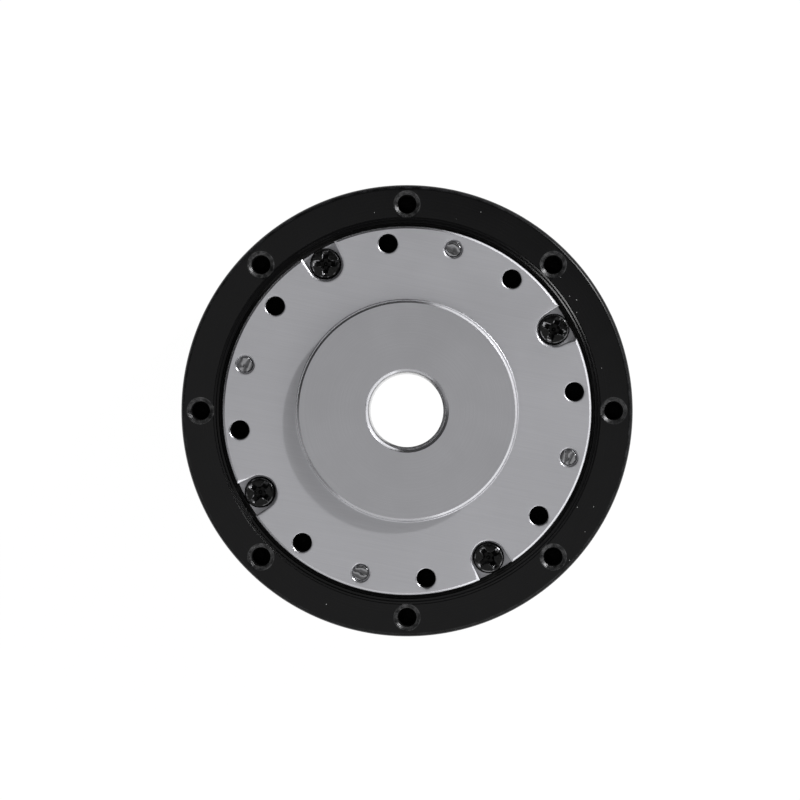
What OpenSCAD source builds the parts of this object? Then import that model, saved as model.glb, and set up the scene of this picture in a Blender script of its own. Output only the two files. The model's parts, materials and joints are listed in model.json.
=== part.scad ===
// Cycloidal reducer: a fixed ring of pins, two cycloid discs turned by an eccentric hollow shaft, and an
// output flange that is carried by a crossed-roller bearing.
// The axis of the reducer is Z. The rear cover's mounting face is at z = 0 and the output looks along +Z.

/* [Cycloid stage] */
// Radius of the circle that the ring pins stand on
pin_circle_r = 27; // [26:0.5:30]
// Number of ring pins, one more than the lobes of a disc (even, so that both discs mesh)
ring_pin_count = 32; // [28:2:34]
// Radius of a ring pin
ring_pin_r = 1.25; // [1:0.05:1.4]
// Distance from the reducer's axis to a disc's own axis
eccentricity = 0.6; // [0.4:0.05:0.65]
// Thickness of a cycloid disc
disc_t = 4; // [3:0.5:6]
// Gap that keeps a disc's flanks off the ring pins
flank_clear = 0.07; // [0.07:0.01:0.12]
// Axial gap on either side of a disc
disc_gap = 0.3; // [0.2:0.05:0.5]

/* [Output pins] */
// Radius of the circle of output pins
output_pin_circle_r = 17.5; // [17:0.25:18]
// Radius of an output pin
output_pin_r = 2; // [1.6:0.1:2.3]
// Wall of the sleeve that rolls on an output pin
sleeve_wall = 0.95; // [0.7:0.05:1.1]

/* [Hollow input shaft] */
// Diameter of the hole through the reducer
bore_d = 12; // [10:0.5:12.5]
// Wall of the shaft at its front journal
journal_wall = 1.5; // [1.3:0.1:1.8]
// Radius of a needle under a disc
needle_r = 1; // [0.8:0.05:1.1]
// Number of needles under a disc
needle_count = 16; // [12:1:17]
// Circle of the threaded holes in the shaft's rear end
input_screw_circle_r = 8; // [7.8:0.1:8.3]
// Radius of those holes
input_screw_r = 1; // [0.8:0.1:1.1]
// Depth of those holes
input_screw_depth = 4; // [3:0.25:6]

/* [Shaft bearings] */
// Width of a shaft bearing
bearing_w = 4; // [3.5:0.25:5]
// Radial height of the front bearing, bore to outside
front_bearing_section = 3; // [2.8:0.1:3.4]
// Radial height of the rear bearing, bore to outside
rear_bearing_section = 3.5; // [3.2:0.1:3.8]
// Radius of a ball in the front bearing
front_ball_r = 0.8; // [0.7:0.05:0.9]
// Radius of a ball in the rear bearing
rear_ball_r = 1; // [0.8:0.05:1.1]
// Number of balls in the front bearing
front_ball_count = 16; // [12:1:20]
// Number of balls in the rear bearing
rear_ball_count = 18; // [14:1:24]

/* [Main bearing] */
// Radius of a crossed roller
roller_r = 0.9; // [0.75:0.05:1]
// Number of crossed rollers (even, because their tilts alternate)
roller_count = 60; // [48:2:64]
// Distance from the pin circle out to the roller circle
roller_offset = 2; // [1.9:0.05:2.2]

/* [Output flange] */
// Thickness of the output flange, without its boss
flange_t = 8; // [7:0.25:10]
// Distance that the flange's face stands out of the housing
flange_proud = 1; // [0.5:0.1:1.5]
// Radius of the centring boss
boss_r = 17; // [14:0.5:20]
// Height of the centring boss
boss_h = 2; // [1:0.25:4]
// Chamfer of the boss edge
boss_chamfer = 0.45; // [0.2:0.05:0.8]
// Distance of the flange's hole circle from the flange's edge
flange_edge_distance = 2.5; // [2.4:0.05:2.7]
// Number of threaded holes in the flange
output_hole_count = 8; // [4:4:8]
// Depth of the threaded holes in the flange
output_hole_depth = 6; // [4:0.5:6.5]
// Turn of the first threaded hole from the X axis
pattern_turn = 6.5; // [0:0.5:12]

/* [Housing] */
// Wall from the pin circle to the outside of the housing
housing_wall = 8; // [7.9:0.1:10]
// Distance of the mounting hole circle from the outside
edge_distance = 3; // [2.8:0.05:3.2]
// Number of mounting holes in the housing's front face
ring_hole_count = 8; // [4:4:8]
// Depth of those holes
ring_hole_depth = 5.5; // [4:0.25:6]
// Chamfer of the housing's front edge
housing_chamfer = 0.6; // [0.3:0.05:1]
// Gap between the output flange and the bore of the housing
flange_gap = 0.7; // [0.5:0.05:0.8]
// Chamfer of that bore's front edge
mouth_chamfer = 0.65; // [0.3:0.05:0.8]
// Radius of the cover's O-ring section
o_ring_r = 0.38; // [0.3:0.02:0.4]

/* [Rear cover] */
// Depth of the recess that centres the motor
register_depth = 1.5; // [1:0.25:2.5]
// Radius of the recess that centres the motor
register_r = 17; // [15:0.5:19]
// Circle of the motor's screw holes
motor_circle_r = 23; // [21:0.5:25]
// Number of the motor's screw holes
motor_hole_count = 4; // [3:1:8]
// Depth of the motor's screw holes
motor_hole_depth = 6; // [4:0.25:6]
// Height of the spigot that centres the cover in the housing
spigot_h = 1.5; // [1:0.1:2]
// Thickness of the shaft seal in the cover
rear_seal_t = 2.2; // [1.5:0.1:3]
// Chamfer of the cover's edges
cover_chamfer = 0.4; // [0.2:0.05:0.5]

/* [Screws and dowels] */
// Radius of the threaded mounting holes (M3)
mount_thread_r = 1.5; // [1.25:0.05:1.6]
// Radius of the assembly screws' threads (M2.5)
screw_r = 1.25; // [1:0.05:1.25]
// Number of cover screws
cover_screw_count = 8; // [4:4:8]
// Length of a flange screw under its head
flange_screw_l = 8; // [7:0.5:8.5]
// Length of a cover screw under its head
cover_screw_l = 10; // [8:0.5:12]
// Radius of the clearance holes that those screws pass through
screw_hole_r = 1.32; // [1.32:0.02:1.4]
// Radius of a dowel
dowel_r = 1.25; // [1:0.05:1.3]
// Length of a dowel
dowel_l = 10; // [9:0.25:10.5]
// Radius of a flange screw's head
pan_head_r = 2.42; // [2.2:0.02:2.5]
// Height of a flange screw's head
pan_head_h = 1.9; // [1.5:0.1:2]
// Depth of the notches that the flange screws' heads stand in
notch_depth = 2.4; // [2.2:0.1:3]

/* [Hidden] */
$fn = 96;

// Each output pin has a sleeve that is a node of its own
output_pin_count = 8;
// The flange's circle has sixteen places: threaded holes on every other one, screws and dowels between
flange_screw_count = 4;
dowel_count = 4;
pitch_turn = 360 / 16;

// Fits: a pressed seat, a running surface, needles, and a screw in its thread
press = 0.01;
run = 0.05;
needle_run = 0.04;
thread_run = 0.05;

// Working gaps and small steps
edge_break = 0.2;
axial_gap = 0.2;
shaft_end_gap = 0.3;
cam_step = 0.1;
journal_step = 1.2;
collar_step = 0.5;
roller_inset = 0.5;
spigot_reach = 2;
overcut = 1;

// Radii, from the axis outwards
bore_r = bore_d / 2;
front_journal_r = bore_r + journal_wall;
cam_r = front_journal_r + eccentricity + cam_step;
rear_journal_r = cam_r + eccentricity + journal_step;
needle_circle_r = cam_r + needle_run + needle_r;
disc_bore_r = needle_circle_r + needle_r + needle_run;
front_bearing_r = front_journal_r + front_bearing_section;
rear_bearing_r = rear_journal_r + rear_bearing_section;
sleeve_bore_r = output_pin_r + run;
sleeve_r = sleeve_bore_r + sleeve_wall;
disc_hole_r = sleeve_r + eccentricity + run;
roller_circle_r = pin_circle_r + roller_offset;
flange_r = roller_circle_r - roller_inset;
housing_bore_r = flange_r + flange_gap;
body_r = pin_circle_r + housing_wall;
ring_hole_circle_r = body_r - edge_distance;
flange_hole_circle_r = flange_r - flange_edge_distance;
spigot_r = pin_circle_r + spigot_reach;

// Seals, O-ring and snap ring
seal_shoulder = 0.3;
seal_lip = 0.5;
flange_seal_t = 1;
flange_seal_depth = 1;
flange_seal_lip = 0.35;
seal_recess = 0.8;
o_ring_room = 0.6;
snap_ring_t = 0.6;
snap_ring_depth = 0.4;
snap_ring_height = 1.1;
snap_ring_opening = 2;
front_seal_room = 2.4;

// Levels, from the rear face upwards
shaft_rear_z = register_depth + shaft_end_gap;
rear_shoulder_z = register_depth + rear_seal_t;
rear_bearing_z = rear_shoulder_z + seal_shoulder;
cover_t = rear_bearing_z + bearing_w;
cover_flange_t = cover_t - spigot_h;
rear_disc_z = cover_t + disc_gap;
front_disc_z = rear_disc_z + disc_t + disc_gap;
pin_top_z = front_disc_z + disc_t + axial_gap;
carrier_z = pin_top_z + axial_gap;
split_z = carrier_z + bearing_w;
flange_z = split_z + flange_t;
housing_z = flange_z - flange_proud;
top_z = flange_z + boss_h;
rear_cam_z = rear_disc_z - axial_gap;
cam_split_z = front_disc_z - disc_gap / 2;
front_seal_z = split_z + snap_ring_t + axial_gap;
flange_recess_z = split_z + snap_ring_t + front_seal_room;
shaft_front_z = flange_recess_z - shaft_end_gap;
flange_seal_z = housing_z - flange_seal_depth - flange_seal_t;
notch_z = flange_z - notch_depth;
dowel_sink = 0.4;
dowel_z = flange_z - dowel_sink - dowel_l;

// The crossed rollers run between two V grooves whose four faces clear them by v_clear
v_clear = 0.06;
v_half = (roller_r + v_clear) * sqrt(2);
inner_v = flange_r - (roller_circle_r - v_half);
outer_v = roller_circle_r + v_half - housing_bore_r;
roller_end_clear = 0.05;
spacer_clear = 0.17;

// Ball bearings
front_mid_r = front_journal_r + front_bearing_section / 2;
rear_mid_r = rear_journal_r + rear_bearing_section / 2;
race_gap = 1.2;
groove_clear = 0.05;
cage_clear = 0.2;
cage_rim = 0.4;

// Screws and their holes
thread_chamfer = 0.3;
ring_thread_chamfer = 0.6;
ring_thread_sink = 0.4;
dowel_chamfer = 0.2;
shank_r = screw_r - thread_run;
cap_head_r = screw_r + 1;
cap_head_h = 2 * screw_r;
cap_head_clear = 0.15;
cap_head_sink = 0.3;
cap_socket_r = 1.16;
thread_room = 0.8;
notch_r = pan_head_r + 0.28;
recess_depth = 1.3;
recess_r = 1.6;
recess_tip_r = 0.4;
recess_slot = 0.72;
cover_screw_turn = 180 / cover_screw_count;
screw_turn = pattern_turn + pitch_turn;
dowel_turn = screw_turn + 180 / flange_screw_count;

// Cycloid profile
lobes = ring_pin_count - 1;
points_per_lobe = 16;
bunching = 0.8; // draws the points together over the sharper parts of a lobe

module around(count, radius, turn = 0) {
    for (i = [0 : count - 1])
        rotate([0, 0, turn + i * 360 / count])
            translate([radius, 0, 0])
                children();
}

module tube(z, h, inner, outer) {
    translate([0, 0, z])
        difference() {
            cylinder(r = outer, h = h);
            translate([0, 0, -overcut])
                cylinder(r = inner, h = h + 2 * overcut);
        }
}

module step(z0, z1, r) {
    translate([0, 0, z0])
        cylinder(r = r, h = z1 - z0);
}

// A ground pin with a chamfer at both ends
module pin(r, h) {
    cylinder(r1 = r - edge_break, r2 = r, h = edge_break);
    step(edge_break, h - edge_break, r);
    translate([0, 0, h - edge_break])
        cylinder(r1 = r, r2 = r - edge_break, h = edge_break);
}

// A hole that opens upwards at z, with a chamfered mouth, at 45 degrees unless sink gives its depth
module blind_hole(z, r, depth, chamfer, sink = 0) {
    cone_h = sink > 0 ? sink : chamfer;
    step(z - depth, z + overcut, r);
    translate([0, 0, z - cone_h])
        cylinder(r1 = r, r2 = r + chamfer, h = cone_h);
    step(z, z + overcut, r + chamfer);
}

// A race between two radii, with a groove for its balls
module race(z, inner, outer, groove_circle, ball_r) {
    difference() {
        tube(z, bearing_w, inner, outer);
        translate([0, 0, z + bearing_w / 2])
            rotate_extrude()
                translate([groove_circle, 0])
                    circle(r = ball_r + groove_clear);
    }
}

module balls(z, count, circle_r, r) {
    around(count, circle_r)
        translate([0, 0, z + bearing_w / 2])
            sphere(r = r);
}

module ball_cage(z, count, circle_r, r) {
    half = race_gap / 2 - cage_clear;
    h = 2 * (r + cage_rim);
    difference() {
        tube(z + (bearing_w - h) / 2, h, circle_r - half, circle_r + half);
        balls(z, count, circle_r, r + run);
    }
}

// A lip seal between a seat and a shaft, its lip running clear of the shaft
module shaft_seal(z, t, shaft_r, seat_r) {
    lip_r = shaft_r + run;
    translate([0, 0, z])
        rotate_extrude()
            polygon([
                [lip_r, t / 2], [lip_r + seal_lip, 0], [seat_r, 0],
                [seat_r, t], [lip_r + seal_lip, t]
            ]);
}

// Housing ------------------------------------------------------------------------------------------

module housing() {
    color([0.09, 0.09, 0.1])
        difference() {
            rotate_extrude()
                polygon(housing_section());
            around(ring_pin_count, pin_circle_r)
                step(cover_flange_t, pin_top_z, ring_pin_r + press);
            around(ring_hole_count, ring_hole_circle_r)
                blind_hole(
                    housing_z, mount_thread_r, ring_hole_depth, ring_thread_chamfer, ring_thread_sink
                );
            around(cover_screw_count, ring_hole_circle_r, cover_screw_turn)
                step(cover_flange_t - overcut, cover_screw_tip_z() + thread_room, screw_r);
        }
}

function cover_screw_tip_z() = cap_head_sink + cap_head_h + cover_screw_l;

function housing_section() = let (
    edge = housing_chamfer,
    rear = cover_flange_t,
    recess = spigot_r + run,
    corner = 2 * o_ring_r + o_ring_room,
    pin_wall_r = pin_circle_r + cam_step,
    seal_r = housing_bore_r + seal_recess,
    seal_top_z = flange_seal_z + flange_seal_t
) [
    [recess + corner, rear], [body_r - edge_break, rear], [body_r, rear + edge_break],
    [body_r, housing_z - edge], [body_r - edge, housing_z],
    [housing_bore_r + mouth_chamfer, housing_z], [housing_bore_r, housing_z - mouth_chamfer],
    [housing_bore_r, seal_top_z], [seal_r, seal_top_z],
    [seal_r, flange_seal_z], [housing_bore_r, flange_seal_z],
    [housing_bore_r, split_z + outer_v], [housing_bore_r + outer_v, split_z],
    [housing_bore_r, split_z - outer_v], [housing_bore_r, pin_top_z],
    [pin_wall_r, pin_top_z], [pin_wall_r, cover_t],
    [recess, cover_t], [recess, rear + corner]
];

module ring_pins() {
    z = cover_t + press;
    color([0.72, 0.73, 0.75])
        around(ring_pin_count, pin_circle_r)
            translate([0, 0, z])
                pin(ring_pin_r, pin_top_z - z);
}

module rear_cover() {
    head_room_z = cap_head_sink + cap_head_h;
    color([0.1, 0.1, 0.11])
        difference() {
            rotate_extrude()
                polygon(cover_section());
            around(motor_hole_count, motor_circle_r)
                mirror([0, 0, 1])
                    blind_hole(0, mount_thread_r, motor_hole_depth, thread_chamfer);
            around(cover_screw_count, ring_hole_circle_r, cover_screw_turn) {
                step(-overcut, head_room_z, cap_head_r + cap_head_clear);
                step(-overcut, cover_t, screw_hole_r);
            }
        }
}

function cover_section() = let (edge = cover_chamfer, seat_r = rear_bearing_r + press) [
    [register_r + edge, 0], [body_r - edge, 0], [body_r, edge],
    [body_r, cover_flange_t - edge_break], [body_r - edge_break, cover_flange_t],
    [spigot_r, cover_flange_t], [spigot_r, cover_t - edge_break], [spigot_r - edge_break, cover_t],
    [seat_r, cover_t], [seat_r, rear_bearing_z],
    [seat_r - seal_lip, rear_bearing_z], [seat_r - seal_lip, rear_shoulder_z],
    [seat_r, rear_shoulder_z], [seat_r, register_depth],
    [register_r, register_depth], [register_r, edge]
];

module cover_screws() {
    color([0.12, 0.12, 0.13])
        around(cover_screw_count, ring_hole_circle_r, cover_screw_turn)
            translate([0, 0, cap_head_sink])
                cap_screw();
}

// A socket head screw whose head starts at z = 0 and whose shank points along +Z
module cap_screw() {
    difference() {
        union() {
            cylinder(r1 = cap_head_r - edge_break, r2 = cap_head_r, h = edge_break);
            step(edge_break, cap_head_h, cap_head_r);
            step(edge_break, cap_head_h + cover_screw_l, shank_r);
        }
        translate([0, 0, -overcut])
            cylinder(r = cap_socket_r, h = overcut + cap_head_h / 2, $fn = 6);
    }
}

module cover_o_ring() {
    color([0.05, 0.05, 0.05])
        translate([0, 0, cover_flange_t + o_ring_r + run])
            rotate_extrude()
                translate([spigot_r + o_ring_r + run, 0])
                    circle(r = o_ring_r);
}

module flange_seal() {
    outer = housing_bore_r + seal_recess - press;
    inner = flange_r + run;
    low = flange_seal_z + run;
    high = flange_seal_z + flange_seal_t - run;
    color([0.04, 0.04, 0.04])
        rotate_extrude()
            polygon([
                [inner, high], [inner, high - flange_seal_lip], [inner + flange_seal_lip, low],
                [outer, low], [outer, high]
            ]);
}

module rear_shaft_seal() {
    color([0.06, 0.06, 0.06])
        shaft_seal(register_depth + run, rear_seal_t - 2 * run, rear_journal_r, rear_bearing_r);
}

module rear_bearing_outer_race() {
    color([0.7, 0.71, 0.73])
        race(rear_bearing_z, rear_mid_r + race_gap / 2, rear_bearing_r, rear_mid_r, rear_ball_r);
}

// Output -------------------------------------------------------------------------------------------

module output_flange() {
    color([0.63, 0.63, 0.65])
        difference() {
            rotate_extrude()
                polygon(flange_section());
            around(output_hole_count, flange_hole_circle_r, pattern_turn)
                blind_hole(flange_z, mount_thread_r, output_hole_depth, thread_chamfer);
            around(flange_screw_count, flange_hole_circle_r, screw_turn)
                screw_notch();
            around(dowel_count, flange_hole_circle_r, dowel_turn)
                blind_hole(flange_z, dowel_r + press, flange_t + overcut, dowel_chamfer);
        }
}

function flange_section() = let (edge = edge_break + run, recess = front_bearing_r + press) [
    [recess, split_z], [flange_r - inner_v, split_z], [flange_r, split_z + inner_v],
    [flange_r, flange_z - edge], [flange_r - edge, flange_z],
    [boss_r, flange_z], [boss_r, top_z - boss_chamfer], [boss_r - boss_chamfer, top_z],
    [bore_r + boss_chamfer, top_z], [bore_r, top_z - boss_chamfer],
    [bore_r, flange_recess_z], [recess, flange_recess_z]
];

// Room for a pan head that is open to the flange's edge, over the screw's hole
module screw_notch() {
    step(notch_z, flange_z + overcut, notch_r);
    translate([0, -notch_r, notch_z])
        cube([flange_edge_distance + overcut, 2 * notch_r, notch_depth + overcut]);
    step(split_z - overcut, flange_z, screw_hole_r);
}

module pin_carrier() {
    color([0.6, 0.6, 0.62])
        difference() {
            rotate_extrude()
                polygon(carrier_section());
            around(output_pin_count, output_pin_circle_r)
                step(carrier_z - overcut, output_pin_top_z() + press, output_pin_r + press);
            around(flange_screw_count, flange_hole_circle_r, screw_turn)
                step(carrier_z - overcut, split_z + overcut, screw_r);
            around(dowel_count, flange_hole_circle_r, dowel_turn)
                step(dowel_z - axial_gap, split_z + overcut, dowel_r + press);
        }
}

function carrier_section() = let (seat_r = front_bearing_r + press) [
    [seat_r, carrier_z], [flange_r - edge_break, carrier_z], [flange_r, carrier_z + edge_break],
    [flange_r, split_z - inner_v], [flange_r - inner_v, split_z], [seat_r, split_z]
];

function output_pin_top_z() = split_z - 2 * axial_gap;

module flange_screws() {
    color([0.14, 0.14, 0.15])
        around(flange_screw_count, flange_hole_circle_r, screw_turn)
            translate([0, 0, notch_z])
                pan_screw();
}

// A cross-recessed pan head screw whose head rests on z = 0
module pan_screw() {
    rim = pan_head_h / 2;
    dome_r = (pan_head_r * pan_head_r + rim * rim) / (2 * rim);
    difference() {
        union() {
            intersection() {
                cylinder(r = pan_head_r, h = pan_head_h);
                translate([0, 0, pan_head_h - dome_r])
                    sphere(r = dome_r);
            }
            step(-flange_screw_l, rim, shank_r);
        }
        intersection() {
            translate([0, 0, pan_head_h - recess_depth])
                cylinder(r1 = recess_tip_r, r2 = recess_r, h = recess_depth);
            for (turn = [0, 90])
                rotate([0, 0, turn])
                    translate([-pan_head_r, -recess_slot / 2, 0])
                        cube([2 * pan_head_r, recess_slot, pan_head_h]);
        }
    }
}

module dowel_pins() {
    color([0.55, 0.55, 0.57])
        around(dowel_count, flange_hole_circle_r, dowel_turn)
            translate([0, 0, dowel_z])
                pin(dowel_r, dowel_l);
}

module output_pins() {
    z = rear_disc_z + axial_gap;
    color([0.75, 0.76, 0.78])
        around(output_pin_count, output_pin_circle_r)
            translate([0, 0, z])
                pin(output_pin_r, output_pin_top_z() - z);
}

module front_bearing_outer_race() {
    color([0.7, 0.71, 0.73])
        race(carrier_z, front_mid_r + race_gap / 2, front_bearing_r, front_mid_r, front_ball_r);
}

module front_shaft_seal() {
    room = flange_recess_z - run - front_seal_z;
    color([0.06, 0.06, 0.06])
        shaft_seal(front_seal_z, room, front_journal_r, front_bearing_r);
}

// Input --------------------------------------------------------------------------------------------

module input_shaft() {
    color([0.66, 0.66, 0.69])
        difference() {
            union() {
                step(shaft_rear_z, rear_cam_z, rear_journal_r);
                translate([-eccentricity, 0, 0])
                    step(rear_bearing_z, cam_split_z, cam_r);
                translate([eccentricity, 0, 0])
                    step(cam_split_z - axial_gap, pin_top_z, cam_r);
                step(pin_top_z - axial_gap, carrier_z, front_journal_r + collar_step);
                step(cam_split_z, shaft_front_z, front_journal_r);
            }
            step(shaft_rear_z - overcut, top_z, bore_r);
            translate([0, 0, shaft_rear_z])
                mirror([0, 0, 1])
                    blind_hole(0, bore_r, overcut, cover_chamfer);
            tube(split_z, snap_ring_t + run, front_journal_r - snap_ring_depth, cam_r);
            around(4, input_screw_circle_r)
                step(shaft_rear_z - overcut, shaft_rear_z + input_screw_depth, input_screw_r);
        }
}

module shaft_snap_ring() {
    inner = front_journal_r - snap_ring_depth + press;
    color([0.35, 0.35, 0.37])
        difference() {
            tube(split_z, snap_ring_t, inner, front_journal_r + snap_ring_height);
            translate([0, -snap_ring_opening / 2, split_z - overcut])
                cube([front_bearing_r, snap_ring_opening, snap_ring_t + 2 * overcut]);
        }
}

module front_bearing_inner_race() {
    inner = front_journal_r + press;
    color([0.7, 0.71, 0.73])
        race(carrier_z, inner, front_mid_r - race_gap / 2, front_mid_r, front_ball_r);
}

module rear_bearing_inner_race() {
    inner = rear_journal_r + press;
    color([0.7, 0.71, 0.73])
        race(rear_bearing_z, inner, rear_mid_r - race_gap / 2, rear_mid_r, rear_ball_r);
}

// Cycloid discs ------------------------------------------------------------------------------------

// A point of the curve that stays flank_clear off every ring pin while the disc orbits
function flank_point(u) = let (
    r = ring_pin_r + flank_clear,
    t = u - bunching * 180 / PI * sin(lobes * u) / lobes,
    lean = atan2(sin(-lobes * t), pin_circle_r / (eccentricity * ring_pin_count) - cos(-lobes * t))
) [
    pin_circle_r * cos(t) - r * cos(t + lean) - eccentricity * cos(ring_pin_count * t),
    -pin_circle_r * sin(t) + r * sin(t + lean) + eccentricity * sin(ring_pin_count * t)
];

// A disc whose own axis lies eccentricity away from the reducer's, along turn
module cycloid_disc(z, turn) {
    points = lobes * points_per_lobe;
    rotate([0, 0, turn])
        translate([eccentricity, 0, 0])
            difference() {
                translate([0, 0, z])
                    linear_extrude(height = disc_t)
                        polygon([for (i = [0 : points - 1]) flank_point(i * 360 / points)]);
                step(z - overcut, z + disc_t + overcut, disc_bore_r);
                around(output_pin_count, output_pin_circle_r, -turn)
                    step(z - overcut, z + disc_t + overcut, disc_hole_r);
            }
}

module cycloid_disc_front() {
    color([0.68, 0.69, 0.71])
        cycloid_disc(front_disc_z, 0);
}

module cycloid_disc_rear() {
    color([0.64, 0.65, 0.68])
        cycloid_disc(rear_disc_z, 180);
}

// The needles between a cam and its disc; side is 1 for the front cam and -1 for the rear one
module cam_needles(z, side) {
    translate([side * eccentricity, 0, 0])
        around(needle_count, needle_circle_r)
            step(z + axial_gap, z + disc_t - axial_gap, needle_r);
}

module cam_cage(z, side) {
    half = needle_r / 2;
    translate([side * eccentricity, 0, 0])
        difference() {
            tube(z + run, disc_t - 2 * run, needle_circle_r - half, needle_circle_r + half);
            around(needle_count, needle_circle_r)
                step(z + axial_gap - run, z + disc_t - axial_gap + run, needle_r + run);
        }
}

module front_cam_needles() {
    color([0.76, 0.77, 0.79])
        cam_needles(front_disc_z, 1);
}

module front_cam_cage() {
    color([0.71, 0.55, 0.26])
        cam_cage(front_disc_z, 1);
}

module rear_cam_needles() {
    color([0.76, 0.77, 0.79])
        cam_needles(rear_disc_z, -1);
}

module rear_cam_cage() {
    color([0.71, 0.55, 0.26])
        cam_cage(rear_disc_z, -1);
}

// Rolling elements ---------------------------------------------------------------------------------

module main_rollers() {
    tilt = 45;
    length = 2 * (roller_r - roller_end_clear);
    color([0.76, 0.77, 0.79])
        for (i = [0 : roller_count - 1])
            rotate([0, 0, i * 360 / roller_count])
                translate([roller_circle_r, 0, split_z])
                    rotate([0, i % 2 == 0 ? tilt : -tilt, 0])
                        cylinder(r = roller_r, h = length, center = true);
}

module roller_spacers() {
    pitch = 2 * PI * roller_circle_r / roller_count;
    length = pitch - 2 * (roller_r + spacer_clear);
    color([0.86, 0.84, 0.78])
        around(roller_count, roller_circle_r, 180 / roller_count)
            translate([0, 0, split_z])
                rotate([90, 0, 0])
                    cylinder(r = roller_r - roller_end_clear, h = length, center = true);
}

module front_bearing_balls() {
    color([0.78, 0.79, 0.81])
        balls(carrier_z, front_ball_count, front_mid_r, front_ball_r);
}

module front_bearing_cage() {
    color([0.71, 0.55, 0.26])
        ball_cage(carrier_z, front_ball_count, front_mid_r, front_ball_r);
}

module rear_bearing_balls() {
    color([0.78, 0.79, 0.81])
        balls(rear_bearing_z, rear_ball_count, rear_mid_r, rear_ball_r);
}

module rear_bearing_cage() {
    color([0.71, 0.55, 0.26])
        ball_cage(rear_bearing_z, rear_ball_count, rear_mid_r, rear_ball_r);
}

// The sleeve on output pin number i, counted from 1
module pin_sleeve(i) {
    z = rear_disc_z + axial_gap;
    color([0.73, 0.74, 0.76])
        rotate([0, 0, (i - 1) * 360 / output_pin_count])
            translate([output_pin_circle_r, 0, 0])
                tube(z, pin_top_z - z, sleeve_bore_r, sleeve_r);
}

housing();
ring_pins();
rear_cover();
cover_screws();
cover_o_ring();
flange_seal();
rear_shaft_seal();
rear_bearing_outer_race();
output_flange();
pin_carrier();
flange_screws();
dowel_pins();
output_pins();
front_bearing_outer_race();
front_shaft_seal();
input_shaft();
shaft_snap_ring();
front_bearing_inner_race();
rear_bearing_inner_race();
cycloid_disc_front();
cycloid_disc_rear();
front_cam_needles();
front_cam_cage();
rear_cam_needles();
rear_cam_cage();
main_rollers();
roller_spacers();
front_bearing_balls();
front_bearing_cage();
rear_bearing_balls();
rear_bearing_cage();
pin_sleeve(1);  // pin_sleeve_1
pin_sleeve(2);  // pin_sleeve_2
pin_sleeve(3);  // pin_sleeve_3
pin_sleeve(4);  // pin_sleeve_4
pin_sleeve(5);  // pin_sleeve_5
pin_sleeve(6);  // pin_sleeve_6
pin_sleeve(7);  // pin_sleeve_7
pin_sleeve(8);  // pin_sleeve_8
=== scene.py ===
"""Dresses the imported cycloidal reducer: its own shells, screws, threads and seals over the CAD model's
bodies, a finish for every node that stays, and a plain pale stage."""

import json
import math

import bpy
from bpy.props import FloatProperty, FloatVectorProperty, IntProperty, PointerProperty
from mathutils import Matrix, Vector


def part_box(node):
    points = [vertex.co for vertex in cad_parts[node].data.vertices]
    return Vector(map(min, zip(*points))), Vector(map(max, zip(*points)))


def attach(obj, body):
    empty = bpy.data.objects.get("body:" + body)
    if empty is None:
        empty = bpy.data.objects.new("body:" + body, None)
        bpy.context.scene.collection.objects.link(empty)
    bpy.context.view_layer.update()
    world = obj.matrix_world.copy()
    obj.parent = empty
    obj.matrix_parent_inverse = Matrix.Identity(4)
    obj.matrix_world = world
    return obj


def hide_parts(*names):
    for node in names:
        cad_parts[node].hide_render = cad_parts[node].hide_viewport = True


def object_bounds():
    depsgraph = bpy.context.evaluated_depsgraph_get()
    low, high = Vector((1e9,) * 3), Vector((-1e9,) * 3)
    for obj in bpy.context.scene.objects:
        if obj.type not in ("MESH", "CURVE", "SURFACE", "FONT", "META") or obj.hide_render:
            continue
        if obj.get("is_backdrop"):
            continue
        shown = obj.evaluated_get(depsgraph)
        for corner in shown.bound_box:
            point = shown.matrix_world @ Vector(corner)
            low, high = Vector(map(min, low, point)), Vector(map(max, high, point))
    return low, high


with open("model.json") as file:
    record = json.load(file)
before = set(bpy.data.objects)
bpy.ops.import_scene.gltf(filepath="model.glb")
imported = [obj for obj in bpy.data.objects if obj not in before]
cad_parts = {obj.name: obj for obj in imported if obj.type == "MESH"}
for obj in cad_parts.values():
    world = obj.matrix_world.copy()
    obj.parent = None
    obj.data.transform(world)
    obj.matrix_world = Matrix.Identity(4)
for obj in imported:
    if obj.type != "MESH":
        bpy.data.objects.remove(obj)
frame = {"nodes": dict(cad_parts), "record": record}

bl_info = {
    "name": "Cycloidal reducer",
    "version": (1, 0, 0),
    "blender": (4, 5, 0),
    "location": "3D View > Sidebar > Reducer",
    "description": "Models the visible parts of a hollow cycloidal reducer and finishes them",
    "category": "Add Mesh",
}

MM = 0.001


# ---- Places, read from the frame, in millimetres ----

def mount(name):
    """The record's mount of that name."""
    return next(m for m in frame["record"]["mounts"] if m["name"] == name)


def low(node):
    """The lowest corner of a node's box in millimetres."""
    return [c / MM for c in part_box(node)[0]]


def high(node):
    """The highest corner of a node's box in millimetres."""
    return [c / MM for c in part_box(node)[1]]


def circle_of(name):
    """Radius of a bolt pattern's circle, radius of its holes and its level, in millimetres."""
    m = mount(name)
    return m["dims"]["pcd_mm"] / 2, m["dims"]["hole_r_mm"], m["pos_m"][2] / MM


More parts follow.
